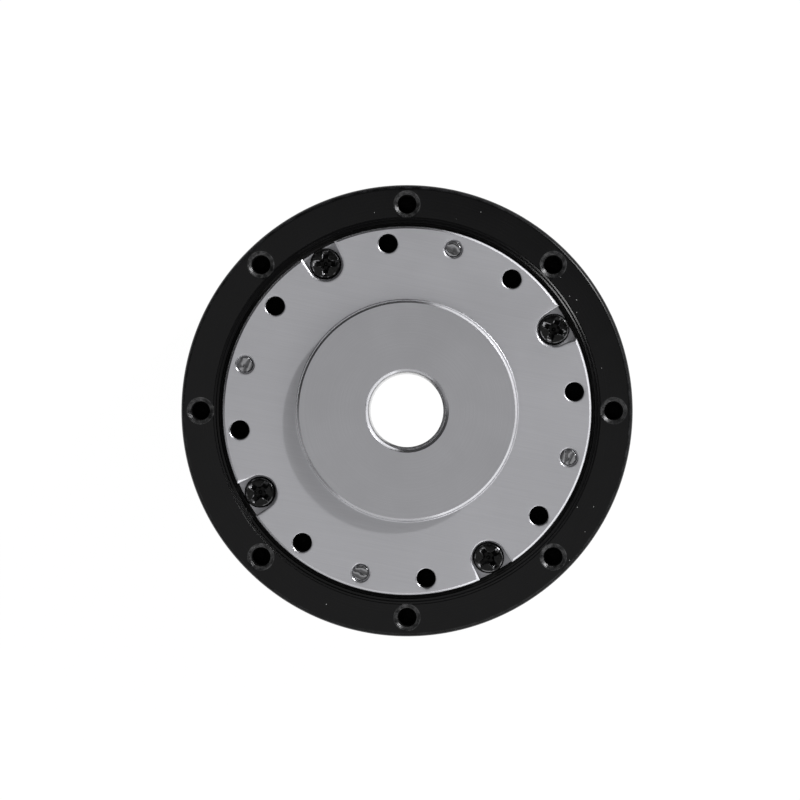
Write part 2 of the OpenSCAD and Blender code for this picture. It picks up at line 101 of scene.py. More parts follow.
BODY_R = high("housing")[0]
HOUSING_LOW = low("housing")[2]
HOUSING_TOP = high("housing")[2]
COVER_TOP = high("rear_cover")[2]
PIN_TOP = high("ring_pins")[2]
SPLIT = high("pin_carrier")[2]
FLANGE_R = high("output_flange")[0]
FLANGE_TOP = mount("output_bolts")["pos_m"][2] / MM
BOSS_TOP = high("output_flange")[2]
BOSS_R = mount("output_pilot")["dims"]["r_mm"]
BORE_R = mount("through_bore")["dims"]["r_mm"]
SHAFT_LOW = low("input_shaft")[2]
SHAFT_TOP = high("input_shaft")[2]
PATTERN_TURN = 6.5
SCREW_TURN = PATTERN_TURN + 22.5
DOWEL_TURN = SCREW_TURN + 45
COVER_SCREW_TURN = 22.5


# ---- Sizes and colours that a user may change ----

def length(name, description, millimetres):
    """A length property with its default in millimetres."""
    return FloatProperty(
        name=name, description=description, default=millimetres * MM, min=0.0,
        unit="LENGTH", subtype="DISTANCE", precision=5,
    )


def tint(name, description, grey, green=None, blue=None):
    """A colour property; one number gives a grey."""
    colour = (grey, grey if green is None else green, grey if blue is None else blue)
    return FloatVectorProperty(
        name=name, description=description, default=colour, size=3, min=0.0, max=1.0, subtype="COLOR",
    )


class ReducerSizes(bpy.types.PropertyGroup):
    """Small sizes of the modelled pieces. The large ones come from the CAD model."""
    segments: IntProperty(name="Segments", description="Points round a turned part", default=256, min=32)
    hole_segments: IntProperty(name="Hole segments", description="Points round a hole", default=48, min=12)
    ease: length("Edge ease", "Rounding of turned edges", 0.06)
    housing_round: length("Housing rounding", "Rounding of the housing's front edge", 0.8)
    lip_pitch: length("Lip pitch", "Distance between the two fine lips round the housing's mouth", 0.65)
    hole_chamfer: length("Hole chamfer", "Width of the chamfer round the housing's threaded holes", 0.6)
    hole_sink: length("Hole sink", "Depth of that chamfer", 0.39)
    thread_chamfer: length("Thread chamfer", "Width of the chamfer round the other holes", 0.32)
    flange_chamfer: length("Flange chamfer", "Width of the chamfer of the output flange's edge", 0.3)
    flange_break: length("Flange break", "Width of the steeper break outside the flange's chamfer", 0.07)
    boss_chamfer: length("Boss chamfer", "Width of the centring boss's flat chamfer", 0.33)
    boss_break: length("Boss break", "Width of the steeper break outside the boss's chamfer", 0.09)
    bore_chamfer: length("Bore chamfer", "Width of the chamfer round the bore's mouth", 0.45)
    flat_slope: FloatProperty(
        name="Flat slope", description="Depth of a flat chamfer over its width", default=0.6, min=0.1,
    )
    root_r: length("Root radius", "Radius that the tool leaves at the boss's foot", 0.37)
    thread_pitch: length("Thread pitch", "Pitch of the M3 threads", 0.5)
    fine_pitch: length("Fine pitch", "Pitch of the M2 threads", 0.4)
    thread_height: length("Thread height", "Height of the threads' ridges", 0.12)
    notch_r: length("Notch radius", "Half the width of a screw's notch", 2.7)
    notch_depth: length("Notch depth", "Depth of a screw's notch", 2.4)
    notch_chamfer: length("Notch chamfer", "Width of the chamfer round a screw's notch", 0.4)
    pan_head_r: length("Pan head radius", "Radius of a flange screw's head", 2.42)
    pan_head_h: length("Pan head height", "Height of a flange screw's head", 1.9)
    pan_shoulder: length("Pan shoulder", "Rounding of the pan head's shoulder", 0.55)
    dowel_sink: length("Dowel sink", "How far a dowel's end lies below the flange", 0.4)
    dowel_rim_r: length("Dowel rim radius", "Radius of the mouth of a dowel's hole", 1.42)


class ReducerFinish(bpy.types.PropertyGroup):
    """Colours of the finishes."""
    ring_black: tint("Ring black", "Black of the housing and the cover", 0.0036, 0.0036, 0.0039)
    ground_grey: tint("Ground grey", "Ground steel of the output flange", 0.62, 0.62, 0.65)
    boss_grey: tint("Boss grey", "Turned steel of the centring boss", 0.535, 0.535, 0.56)
    screw_black: tint("Screw black", "Black oxide of the screws", 0.006)
    dowel_grey: tint("Dowel grey", "Dowel ends", 0.3, 0.3, 0.31)
    bearing_steel: tint("Bearing steel", "Races, rollers, pins and balls", 0.62, 0.62, 0.64)
    disc_steel: tint("Disc steel", "Ground faces of the cycloid discs", 0.5, 0.5, 0.52)
    brass: tint("Brass", "Bearing cages", 0.56, 0.4, 0.15)
    rubber: tint("Rubber", "Seals", 0.012)
    floor: tint("Floor", "Studio floor", 0.8)


def sizes():
    """The sizes in the scene."""
    return bpy.context.scene.reducer_sizes


def colours():
    """The colours in the scene."""
    return bpy.context.scene.reducer_finish


def mm(metres):
    """A stored length in millimetres."""
    return metres / MM


# ---- Modelling, in millimetres round the reducer's axis; finished() brings the pieces to metres ----

ARC_REACH = 0.45  # the most of a side that a corner's arc takes up
ARC_LEAST = 0.0001  # a shorter arc is left out
STRAIGHT = math.radians(85)  # half of a corner's angle, from which it counts as straight
TIP_R = 0.05  # radius of a drill's tip over the drill's radius
TIP_HEIGHT = 0.55  # height of a drill's tip over the drill's radius
MARK_RISE, MARK_RUN = 0.08, 0.03  # height and width of a tool mark on a chamfer
OVERSHOOT = 0.4  # how far a drill stands out of the mouth of its hole
THREAD_FOOT, THREAD_CREST = 0.42, 0.06  # half the width of a thread's foot and crest over its pitch
THREAD_GRIP = 0.03  # how far a thread's foot reaches into the wall
THREAD_STEPS = 20  # steps in one turn of a thread
SLACK = 0.05  # how far outside a hole's own size its faces are looked for
HOLE_REACH = 9.0  # deeper than any threaded hole
MERGE_GAP = 0.0005  # points closer than this are one point


def deselect():
    """Leaves edit mode and selects nothing."""
    active = bpy.context.view_layer.objects.active
    if active and active.mode != "OBJECT":
        bpy.ops.object.mode_set(mode="OBJECT")
    bpy.ops.object.select_all(action="DESELECT")


def pick(*pieces):
    """Selects these pieces only; the first is the active one."""
    deselect()
    for piece in pieces:
        piece.select_set(True)
    bpy.context.view_layer.objects.active = pieces[0]


def named(piece, name):
    """Gives a piece and its mesh a name."""
    piece.name = name
    piece.data.name = name
    return piece


def settle(piece):
    """Applies a piece's own place, turn and size to its mesh."""
    pick(piece)
    bpy.ops.object.transform_apply(location=True, rotation=True, scale=True)
    return piece


def outward():
    """In edit mode, turns all faces outwards."""
    bpy.ops.mesh.select_all(action="SELECT")
    bpy.ops.mesh.normals_make_consistent(inside=False)


def select_open_edges():
    """In edit mode, selects the edges that have one face only."""
    bpy.ops.mesh.select_all(action="DESELECT")
    bpy.ops.mesh.select_mode(type="EDGE")
    bpy.ops.mesh.select_non_manifold(
        extend=False, use_wire=False, use_boundary=True, use_multi_face=False,
        use_non_contiguous=False, use_verts=False,
    )


def eased(corners, radius, steps=3, closed=True):
    """The corners of a section with each sharp one replaced by a small arc."""
    out = []
    count = len(corners)
    for i, corner in enumerate(corners):
        if not closed and i in (0, count - 1):
            out.append(corner)
            continue
        here = Vector(corner)
        before = Vector(corners[i - 1]) - here
        after = Vector(corners[(i + 1) % count]) - here
        half = before.angle(after) / 2
        reach = min(radius / math.tan(half), ARC_REACH * before.length, ARC_REACH * after.length)
        if half > STRAIGHT or reach < ARC_LEAST:
            out.append(corner)
            continue
        start = here + before.normalized() * reach
        end = here + after.normalized() * reach
        for k in range(steps + 1):
            t = k / steps
            point = start * (1 - t) ** 2 + here * 2 * t * (1 - t) + end * t * t
            out.append(tuple(point))
    return out


def carry(section):
    """In edit mode, extrudes the selected circle along the points of a section."""
    for (r0, z0), (r1, z1) in zip(section, section[1:]):
        bpy.ops.mesh.extrude_region_move(TRANSFORM_OT_translate={"value": (0, 0, z1 - z0)})
        bpy.ops.transform.resize(value=(r1 / r0, r1 / r0, 1), center_override=(0, 0, 0))


def turned_ring(name, section, segments):
    """A ring with a closed section of (radius, height) points."""
    deselect()
    r, z = section[0]
    bpy.ops.mesh.primitive_circle_add(vertices=segments, radius=r, fill_type="NOTHING")
    piece = bpy.context.object
    bpy.ops.object.mode_set(mode="EDIT")
    bpy.ops.transform.translate(value=(0, 0, z))
    carry(section)
    select_open_edges()
    bpy.ops.mesh.bridge_edge_loops()
    outward()
    bpy.ops.object.mode_set(mode="OBJECT")
    return named(piece, name)


def turned_bar(name, section, segments):
    """A solid bar turned to the (radius, height) points of an open section, flat at both ends."""
    deselect()
    r, z = section[0]
    bpy.ops.mesh.primitive_circle_add(vertices=segments, radius=r, fill_type="NGON")
    piece = bpy.context.object
    bpy.ops.object.mode_set(mode="EDIT")
    bpy.ops.transform.translate(value=(0, 0, z))
    carry(section)
    outward()
    bpy.ops.object.mode_set(mode="OBJECT")
    return named(piece, name)


def copies_around(piece, count, radius, turn=0.0, spin=None):
    """Copies of a piece, each with its own mesh, joined in one: count of them on a circle round the axis.

    spin, if given, turns each copy about its own axis first, in degrees."""
    made = []
    for i in range(count):
        copy = piece.copy()
        copy.data = piece.data.copy()
        bpy.context.collection.objects.link(copy)
        own = Matrix.Rotation(math.radians(spin[i] if spin else 0), 4, "Z")
        out = Matrix.Translation((radius, 0, 0))
        copy.matrix_world = Matrix.Rotation(math.radians(turn + i * 360 / count), 4, "Z") @ out @ own
        made.append(copy)
    name = piece.name
    bpy.data.objects.remove(piece)
    pick(*made)
    bpy.ops.object.join()
    return named(settle(bpy.context.object), name)


def modify(piece, kind, **settings):
    """Adds a modifier, sets it and applies it."""
    pick(piece)
    modifier = piece.modifiers.new(kind.title(), kind)
    for key, value in settings.items():
        setattr(modifier, key, value)
    bpy.ops.object.modifier_apply(modifier=modifier.name)
    return piece


def clean(piece, gap=MERGE_GAP):
    """Merges points closer than a gap and removes the slivers between them, so that the mesh is closed."""
    pick(piece)
    bpy.ops.object.mode_set(mode="EDIT")
    bpy.ops.mesh.select_all(action="SELECT")
    bpy.ops.mesh.remove_doubles(threshold=gap)
    bpy.ops.mesh.dissolve_degenerate(threshold=gap)
    bpy.ops.object.mode_set(mode="OBJECT")
    return piece


def cut(piece, *cutters):
    """Cuts pieces out of a piece and throws them away."""
    for cutter in cutters:
        modify(piece, "BOOLEAN", operation="DIFFERENCE", solver="EXACT", object=cutter)
        bpy.data.objects.remove(cutter)
    return clean(piece)


def drill(r, top, depth, chamfer, sink=None, tip=True, marks=0):
    """A cutter for a hole that opens upwards at the height top, with a chamfered mouth and a drill's tip.

    The chamfer can carry some fine tool marks, each a small steep step."""
    bottom = top - depth
    sink = sink or chamfer
    slope = chamfer / sink
    section = [(TIP_R * r, bottom - (TIP_HEIGHT * r if tip else 0)), (r, bottom), (r, top - sink)]
    wide = (chamfer - marks * MARK_RUN) / (marks + 1)
    tall = (sink - marks * MARK_RISE) / (marks + 1)
    for k in range(marks):
        x = r + k * MARK_RUN + (k + 1) * wide
        z = top - sink + k * MARK_RISE + (k + 1) * tall
        section += [(x, z), (x + MARK_RUN, z + MARK_RISE)]
    section += [(r + chamfer, top), (r + chamfer + OVERSHOOT * slope, top + OVERSHOOT)]
    return turned_bar("drill", section, sizes().hole_segments)


def upside_down(piece):
    """Turns a piece over about the X axis, through the origin."""
    piece.rotation_euler = (math.pi, 0, 0)
    return settle(piece)


def thread(name, r, crest, pitch, bottom, top):
    """The helical ridge of a thread inside a hole of radius r, its crest at radius crest."""
    deselect()
    bpy.ops.mesh.primitive_circle_add(vertices=4, radius=1, fill_type="NOTHING")
    piece = bpy.context.object
    foot, tip = THREAD_FOOT * pitch, THREAD_CREST * pitch
    corners = [(r + THREAD_GRIP, -foot), (crest, -tip), (crest, tip), (r + THREAD_GRIP, foot)]
    for vertex, (x, z) in zip(piece.data.vertices, corners):
        vertex.co = (x, 0, bottom + z)
    modify(
        piece, "SCREW", axis="Z", angle=2 * math.pi, screw_offset=pitch,
        iterations=max(2, int((top - bottom) / pitch)), steps=THREAD_STEPS, render_steps=THREAD_STEPS,
        use_merge_vertices=False,
    )
    bpy.ops.object.mode_set(mode="EDIT")
    select_open_edges()
    bpy.ops.mesh.fill()
    outward()
    bpy.ops.object.mode_set(mode="OBJECT")
    return named(piece, name)


def threaded(ridge, ring, body, material):
    """Sets a thread in a ring of holes, given by their number, circle and turn, and finishes it."""
    return finished(copies_around(ridge, *ring), body, material)


def bored(piece, material, centres, r, bottom, top):
    """Gives the faces inside a set of upright holes, between two heights, a finish of their own."""
    piece.data.materials.append(material)
    slot = len(piece.data.materials) - 1
    centres = [Vector(c) for c in centres]
    for face in piece.data.polygons:
        x, y, z = face.center / MM
        if bottom < z < top and any((Vector((x, y)) - c).length < r for c in centres):
            face.material_index = slot


def places(count, radius, turn=0.0):
    """The centres of holes on a circle round the axis."""
    steps = [math.radians(turn + i * 360 / count) for i in range(count)]
    return [(radius * math.cos(a), radius * math.sin(a)) for a in steps]


def finished(piece, body, material, nodes=(), angle=32):
    """Brings a piece to metres, smooths its round faces, gives it a finish and fixes it to its body."""
    piece.scale = (MM, MM, MM)
    settle(piece)
    bpy.ops.object.shade_smooth_by_angle(angle=math.radians(angle))
    modify(piece, "WEIGHTED_NORMAL", keep_sharp=True, weight=80, mode="FACE_AREA_WITH_ANGLE")
    piece.data.materials.clear()
    piece.data.materials.append(material)
    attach(piece, body)
    if nodes:
        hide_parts(*nodes)
    return piece


# ---- Shader nodes and node groups ----

def wire(socket, value):
    """Links an output to a socket, or sets the socket's value."""
    if isinstance(value, bpy.types.NodeSocket):
        socket.id_data.links.new(value, socket)
    else:
        socket.default_value = value


def math_node(nodes, operation, *values):
    """The result of a math node with its inputs set or linked."""
    node = nodes.new("ShaderNodeMath")
    node.operation = operation
    for socket, value in zip(node.inputs, values):
        wire(socket, value)
    return node.outputs[0]


def mix_colour(nodes, share, first, second, blend="MIX"):
    """A mix of two colours."""
    node = nodes.new("ShaderNodeMix")
    node.data_type = "RGBA"
    node.blend_type = blend
    wire(node.inputs["Factor"], share)
    wire(node.inputs[6], first)
    wire(node.inputs[7], second)
    return node.outputs[2]


def noise(nodes, vector, scale, detail=2.0, roughness=0.5):
    """A noise texture's value."""
    node = nodes.new("ShaderNodeTexNoise")
    wire(node.inputs["Vector"], vector)
    wire(node.inputs["Scale"], scale)
    wire(node.inputs["Detail"], detail)
    wire(node.inputs["Roughness"], roughness)
    return node.outputs["Fac"]


def between(nodes, value, start, end, low_value=0.0, high_value=1.0):
    """A value brought smoothly from one range to another."""
    node = nodes.new("ShaderNodeMapRange")
    node.interpolation_type = "SMOOTHSTEP"
    wire(node.inputs["Value"], value)
    wire(node.inputs["From Min"], start)
    wire(node.inputs["From Max"], end)
    wire(node.inputs["To Min"], low_value)
    wire(node.inputs["To Max"], high_value)
    return node.outputs["Result"]


def object_place(nodes):
    """The place on the reducer, in metres."""
    return nodes.new("ShaderNodeTexCoord").outputs["Object"]


def axis_radius(nodes):
    """The distance from the reducer's axis, the place itself and the place's three numbers, in metres."""
    place = object_place(nodes)
    split = nodes.new("ShaderNodeSeparateXYZ")
    wire(split.inputs[0], place)
    x, y, z = split.outputs
    squares = math_node(nodes, "ADD", math_node(nodes, "MULTIPLY", x, x), math_node(nodes, "MULTIPLY", y, y))
    return math_node(nodes, "SQRT", squares), place, (x, y, z)


def turning_marks(nodes, given, out):
    """Fine rings that a lathe leaves: a height and a shade that change with the radius and the height."""
    radius, place, (_, _, z) = axis_radius(nodes)
    along = math_node(nodes, "ADD", radius, math_node(nodes, "MULTIPLY", z, 0.83))
    wave = nodes.new("ShaderNodeTexNoise")
    wave.noise_dimensions = "1D"
    wire(wave.inputs["W"], math_node(nodes, "MULTIPLY", along, given["Lines per metre"]))
    wire(wave.inputs["Scale"], 1.0)
    wire(wave.inputs["Detail"], 2.0)
    breakup = between(nodes, noise(nodes, place, 220.0), 0.25, 0.75, 0.55, 1.0)
    wire(out["Height"], wave.outputs["Fac"])
    wire(out["Shade"], math_node(nodes, "MULTIPLY", wave.outputs["Fac"], breakup))


def ground_grain(nodes, given, out):
    """The fine straight grain of a ground face, with soft clouds: a height, a shade and the clouds."""
    place = object_place(nodes)
    turn = nodes.new("ShaderNodeVectorRotate")
    turn.rotation_type = "Z_AXIS"
    wire(turn.inputs["Vector"], place)
    wire(turn.inputs["Angle"], given["Turn"])
    stretch = nodes.new("ShaderNodeMapping")
    wire(stretch.inputs["Scale"], (90.0, 9000.0, 300.0))
    wire(stretch.inputs["Vector"], turn.outputs[0])
    lines = noise(nodes, stretch.outputs[0], 1.0, 3.0, 0.6)
    fine = noise(nodes, place, 9000.0, 1.0)
    wire(out["Height"], math_node(nodes, "ADD", lines, math_node(nodes, "MULTIPLY", fine, 0.5)))
    wire(out["Shade"], lines)
    wire(out["Clouds"], noise(nodes, place, 90.0, 3.0, 0.55))


def specks(nodes, given, out):
    """Sparse bright specks, such as chips and dust: a mask."""
    place = object_place(nodes)
    wobble = nodes.new("ShaderNodeTexNoise")
    wire(wobble.inputs["Vector"], place)
    wire(wobble.inputs["Scale"], 3000.0)
    bent = nodes.new("ShaderNodeVectorMath")
    bent.operation = "MULTIPLY_ADD"
    wire(bent.inputs[0], wobble.outputs["Color"])
    wire(bent.inputs[1], (0.00006, 0.00006, 0.00006))
    wire(bent.inputs[2], place)
    cells = nodes.new("ShaderNodeTexVoronoi")
    wire(cells.inputs["Vector"], bent.outputs[0])
    wire(cells.inputs["Scale"], given["Cells per metre"])
    near = math_node(nodes, "LESS_THAN", cells.outputs["Distance"], given["Size"])
    parts = nodes.new("ShaderNodeSeparateColor")
    wire(parts.inputs[0], cells.outputs["Color"])
    chosen = math_node(nodes, "LESS_THAN", parts.outputs[0], given["Share"])
    wire(out["Mask"], math_node(nodes, "MULTIPLY", near, chosen))


def painted_edge_highlight(nodes, given, out):
    """A painted highlight along a round edge: a mask round one radius, broken up by noise."""
    radius, place, _ = axis_radius(nodes)
    off = math_node(nodes, "ABSOLUTE", math_node(nodes, "SUBTRACT", radius, given["Radius"]))
    near = math_node(nodes, "SUBTRACT", 1.0, math_node(nodes, "DIVIDE", off, given["Width"]))
    ragged = between(nodes, noise(nodes, place, 700.0, 4.0, 0.6), 0.35, 0.7)
    wire(out["Mask"], math_node(nodes, "MULTIPLY", math_node(nodes, "MAXIMUM", near, 0.0), ragged))


# The node groups: the inputs with their values, the outputs, and the function that fills each group.
GROUPS = {
    "Turning marks": ({"Lines per metre": 4000.0}, ("Height", "Shade"), turning_marks),
    "Ground grain": ({"Turn": 0.3}, ("Height", "Shade", "Clouds"), ground_grain),
    "Specks": ({"Cells per metre": 420.0, "Size": 0.06, "Share": 0.2}, ("Mask",), specks),
    "Painted edge highlight": ({"Radius": 0.035, "Width": 0.0004}, ("Mask",), painted_edge_highlight),
}


def shared_group(name):
    """The node group of that name, made when it is first asked for."""
    group = bpy.data.node_groups.get(name)
    if group:
        return group
    inputs, outputs, fill = GROUPS[name]
    group = bpy.data.node_groups.new(name, "ShaderNodeTree")
    for label, value in inputs.items():
        socket = group.interface.new_socket(name=label, in_out="INPUT", socket_type="NodeSocketFloat")
        socket.default_value = value
    for label in outputs:
        group.interface.new_socket(name=label, in_out="OUTPUT", socket_type="NodeSocketFloat")
    given, out = group.nodes.new("NodeGroupInput"), group.nodes.new("NodeGroupOutput")
    fill(group.nodes, given.outputs, out.inputs)
    return group


def effect(nodes, name, **values):
    """What a shared node group gives; underscores stand for spaces in the names of its inputs."""
    node = nodes.new("ShaderNodeGroup")
    node.node_tree = shared_group(name)
    for key, value in values.items():
        wire(node.inputs[key.replace("_", " ")], value)
    return node.outputs


# ---- Materials ----

def once(name, make):
    """The material of that name, made when it is first asked for."""
    return bpy.data.materials.get(name) or make(name)


def rgba(colour, gain=1.0):
    """A colour with its alpha."""
    return (*[min(1.0, c * gain) for c in colour], 1.0)


def blank(name, **settings):
    """A material with one Principled shader, whose sockets are set by name."""
    material = bpy.data.materials.new(name)
    material.use_nodes = True
    shader = next(n for n in material.node_tree.nodes if n.type == "BSDF_PRINCIPLED")
    for key, value in settings.items():
        shader.inputs[key.replace("_", " ")].default_value = value
    return material, material.node_tree.nodes, shader


def coat(nodes, shader, colour, rough, height, relief):
    """Feeds a shader's colour, roughness and bump, whose relief is in metres."""
    wire(shader.inputs["Base Color"], colour)
    wire(shader.inputs["Roughness"], rough)
    node = nodes.new("ShaderNodeBump")
    wire(node.inputs["Distance"], relief)
    wire(node.inputs["Strength"], 1.0)
    wire(node.inputs["Height"], height)
    wire(shader.inputs["Normal"], node.outputs[0])


def mottled(name, grain, spread, tones, rough, relief, **settings):
    """A finish whose tone, roughness and relief all follow one noise.

    grain holds the noise's scale, detail and roughness, and spread its values at the two tones."""
    material, nodes, shader = blank(name, **settings)
    value = noise(nodes, object_place(nodes), *grain)
    share = between(nodes, value, *spread) if spread else value
    colour = mix_colour(nodes, share, *tones)
    coat(nodes, shader, colour, between(nodes, value, 0.3, 0.7, *rough), value, relief)
    return material


def countersunk(name):
    """A countersink cut through the black: dark bare metal, a little uneven."""
    tones = (0.025, 0.025, 0.026, 1), (0.12, 0.12, 0.122, 1)
    return mottled(name, (1300.0, 3.0), (0.3, 0.75), tones, (0.2, 0.3), 0.000006, Metallic=0.7)


def painted_shade_bore(name):
    """The wall and the thread of a tapped hole and the inside of a screw's recess, painted near black as the
    shade that falls deep inside.
    """
    tones = (0.001, 0.001, 0.001, 1), (0.006, 0.006, 0.006, 1)
    shine = {"IOR": 1.45, "Specular_IOR_Level": 0.3}
    return mottled(name, (3000.0, 3.0), None, tones, (0.35, 0.5), 0.00001, **shine)


def oxide_black(name):
    """Black oxide of the screws: dark steel with an uneven tone and shine."""
    tones = rgba(colours().screw_black, 0.6), rgba(colours().screw_black, 2.4)
    shine = {"Metallic": 0.6, "IOR": 1.5}
    return mottled(name, (2600.0, 3.0, 0.6), (0.3, 0.75), tones, (0.14, 0.26), 0.00003, **shine)


def rubbed_edge(name):
    """The rim of a driver's recess, where the black has been rubbed off in places."""
    tones = rgba(colours().dowel_grey, 0.08), rgba(colours().dowel_grey, 0.9)
    return mottled(name, (1500.0, 2.0), (0.46, 0.64), tones, (0.3, 0.18), 0.00001, Metallic=1.0)


def seal_rubber(name):
    """Moulded black rubber, matt and finely pitted."""
    tones = rgba(colours().rubber, 0.6), rgba(colours().rubber, 1.8)
    shine = {"IOR": 1.5, "Specular_IOR_Level": 0.3}
    return mottled(name, (5200.0, 3.0, 0.6), (0.35, 0.8), tones, (0.55, 0.75), 0.00001, **shine)


def ring_black(name):
    """Satin black of the housing and cover: faint turning marks, a painted highlight line round the front
    edge's rounding and a few specks.
    """
    material, nodes, shader = blank(name, IOR=1.45, Specular_IOR_Level=0.3)
    marks = effect(nodes, "Turning marks", Lines_per_metre=5200.0)
    dust = effect(nodes, "Specks", Cells_per_metre=800.0, Share=0.15)
    # a thin painted highlight round the rounded front edge, standing in for a lamp's reflection there
    outer = effect(nodes, "Painted edge highlight", Radius=(BODY_R - 0.45) * MM, Width=0.00022)
    base = colours().ring_black
    body = mix_colour(nodes, between(nodes, marks["Shade"], 0.2, 0.8), rgba(base, 0.75), rgba(base, 1.3))
    bright_edge = mix_colour(nodes, math_node(nodes, "MULTIPLY", outer["Mask"], 0.5), body, rgba(base, 14.0))
    colour = mix_colour(nodes, dust["Mask"], bright_edge, (0.3, 0.3, 0.3, 1.0))
    rough = between(nodes, marks["Shade"], 0.1, 0.9, 0.2, 0.28)
    coat(nodes, shader, colour, rough, marks["Height"], 0.000002)
    return material


def cut_edges(nodes, flat, sloping):
    """One value on level faces and another on sloping ones, where a tool has cut a bright edge."""
    split = nodes.new("ShaderNodeSeparateXYZ")
    wire(split.inputs[0], nodes.new("ShaderNodeTexCoord").outputs["Normal"])
    return between(nodes, math_node(nodes, "ABSOLUTE", split.outputs[2]), 0.9, 0.995, sloping, flat)


def flange_grey(name):
    """Ground steel of the flange with a turned boss that is a shade darker."""
    material, nodes, shader = blank(name)
    wire(shader.inputs["Metallic"], cut_edges(nodes, 0.7, 0.97))
    radius, _, (_, _, z) = axis_radius(nodes)
    grain = effect(nodes, "Ground grain", Turn=0.2)
    marks = effect(nodes, "Turning marks", Lines_per_metre=6500.0)
    inside = math_node(nodes, "LESS_THAN", radius, (BOSS_R + 0.1) * MM)
    above = math_node(nodes, "GREATER_THAN", z, (FLANGE_TOP + 0.2) * MM)
    on_boss = math_node(nodes, "MULTIPLY", inside, above)
    base = mix_colour(nodes, on_boss, rgba(colours().ground_grey), rgba(colours().boss_grey))
    lines = mix_colour(nodes, on_boss, grain["Shade"], marks["Shade"])
    streaks = between(nodes, lines, 0.2, 0.8, 0.93, 1.0)
    stains = between(nodes, grain["Clouds"], 0.3, 0.7, -0.03, 0.0)
    tone = math_node(nodes, "ADD", streaks, stains)
    grey = nodes.new("ShaderNodeCombineColor")
    for socket in grey.inputs[:3]:
        wire(socket, tone)
    colour = mix_colour(nodes, 1.0, base, grey.outputs[0], "MULTIPLY")
    rough = between(nodes, grain["Clouds"], 0.3, 0.7, 0.38, 0.46)
    rough = math_node(nodes, "SUBTRACT", rough, cut_edges(nodes, 0.0, 0.18))
    coat(nodes, shader, colour, rough, grain["Height"], 0.0000012)
    return material


def dowel_end(name):
    """Dowel steel with the swirled, dented look of a tapped-in end."""
    material, nodes, shader = blank(name, Metallic=1.0)
    swirl = nodes.new("ShaderNodeTexWave")
    swirl.wave_type = "RINGS"
    swirl.rings_direction = "Z"
    wire(swirl.inputs["Vector"], object_place(nodes))
    for label, value in (("Scale", 330.0), ("Distortion", 7.0), ("Detail", 2.0), ("Detail Scale", 1.6)):
        wire(swirl.inputs[label], value)
    dents = swirl.outputs["Fac"]
    base = colours().dowel_grey
    colour = mix_colour(nodes, between(nodes, dents, 0.1, 0.9), rgba(base, 0.6), rgba(base, 1.5))
    coat(nodes, shader, colour, between(nodes, dents, 0.3, 0.7, 0.42, 0.2), dents, 0.00005)
    return material


def polished_steel(name, colour=None, rough=0.16):
    """Bearing steel with very fine turning marks."""
    material, nodes, shader = blank(name, Metallic=1.0)
    marks = effect(nodes, "Turning marks", Lines_per_metre=9000.0)
    base = colour or colours().bearing_steel
    colour = mix_colour(nodes, marks["Shade"], rgba(base, 0.9), rgba(base, 1.1))
    rough = between(nodes, marks["Shade"], 0.1, 0.9, rough, rough + 0.08)
    coat(nodes, shader, colour, rough, marks["Height"], 0.000001)
    return material


def ground_disc(name):
    """Hardened discs, ground flat, with straight grain."""
    material, nodes, shader = blank(name, Metallic=1.0)
    grain = effect(nodes, "Ground grain", Turn=0.9)
    base = colours().disc_steel
    colour = mix_colour(nodes, between(nodes, grain["Shade"], 0.25, 0.75), rgba(base, 0.8), rgba(base, 1.15))
    rough = between(nodes, grain["Clouds"], 0.3, 0.7, 0.26, 0.36)
    coat(nodes, shader, colour, rough, grain["Height"], 0.0000015)
    return material


def cage_brass(name):
    """Machined brass of the bearing cages, a little tarnished."""
    material, nodes, shader = blank(name, Metallic=1.0)
    marks = effect(nodes, "Turning marks", Lines_per_metre=7000.0)
    tarnish = between(nodes, noise(nodes, object_place(nodes), 500.0, 4.0), 0.45, 0.75)
    base = colours().brass
    bright = mix_colour(nodes, marks["Shade"], rgba(base, 0.85), rgba(base, 1.2))
    colour = mix_colour(nodes, tarnish, bright, rgba(base, 0.55))
    coat(nodes, shader, colour, between(nodes, tarnish, 0.0, 1.0, 0.26, 0.42), marks["Height"], 0.000002)
    return material


def spacer_plastic(name):
    """Pale moulded plastic of the roller spacers."""
    material, nodes, shader = blank(name, IOR=1.5)
    place = object_place(nodes)
    cloud = noise(nodes, place, 1500.0, 3.0)
    colour = mix_colour(nodes, cloud, (0.62, 0.58, 0.47, 1), (0.78, 0.75, 0.65, 1))
    coat(nodes, shader, colour, 0.45, noise(nodes, place, 9000.0, 2.0), 0.000005)
    return material


# ---- Sections of the turned parts, in millimetres, as (radius, height) ----

# Sizes that the CAD model has as well.
BEARING_BORE_R = 29.2
SEAL_LOW, SEAL_HIGH, SEAL_GROOVE_R = HOUSING_TOP - 2.0, HOUSING_TOP - 1.0, 30.0
OUTER_V_R, INNER_V_R = 30.358, 27.642
PIN_WALL_R, PIN_CIRCLE_R, PIN_POCKET_R = 27.1, 27.0, 1.26
SPIGOT_R, RECESS_R, RECESS_CORNER = 29.0, 29.05, 1.36
SEAT_REAR_R, SEAT_FRONT_R, SEAT_FRONT_TOP = 13.51, 10.51, 24.0
RING_GROOVE_LOW, RING_GROOVE_HIGH, RING_GROOVE_DEPTH = 3.7, 4.0, 0.5
REGISTER_R, REGISTER_DEPTH = mount("motor_register")["dims"]["r_mm"], 1.5
BREAK, WIDE_BREAK = 0.2, 0.4
HOUSING_HOLE_DEPTH, MOTOR_HOLE_DEPTH, FLANGE_HOLE_DEPTH, SHAFT_HOLE_DEPTH = 5.5, 6.0, 6.0, 4.0
SCREW_HOLE_R, SCREW_HOLE_DEPTH, CLEARANCE_R = 1.25, 7.0, 1.32
DOWEL_HOLE_R, DOWEL_HOLE_DEPTH, DOWEL_RIM_DEPTH = 1.26, 9.0, 0.9
HEAD_SEAT_R, HEAD_SEAT_DEPTH = 2.4, 2.8
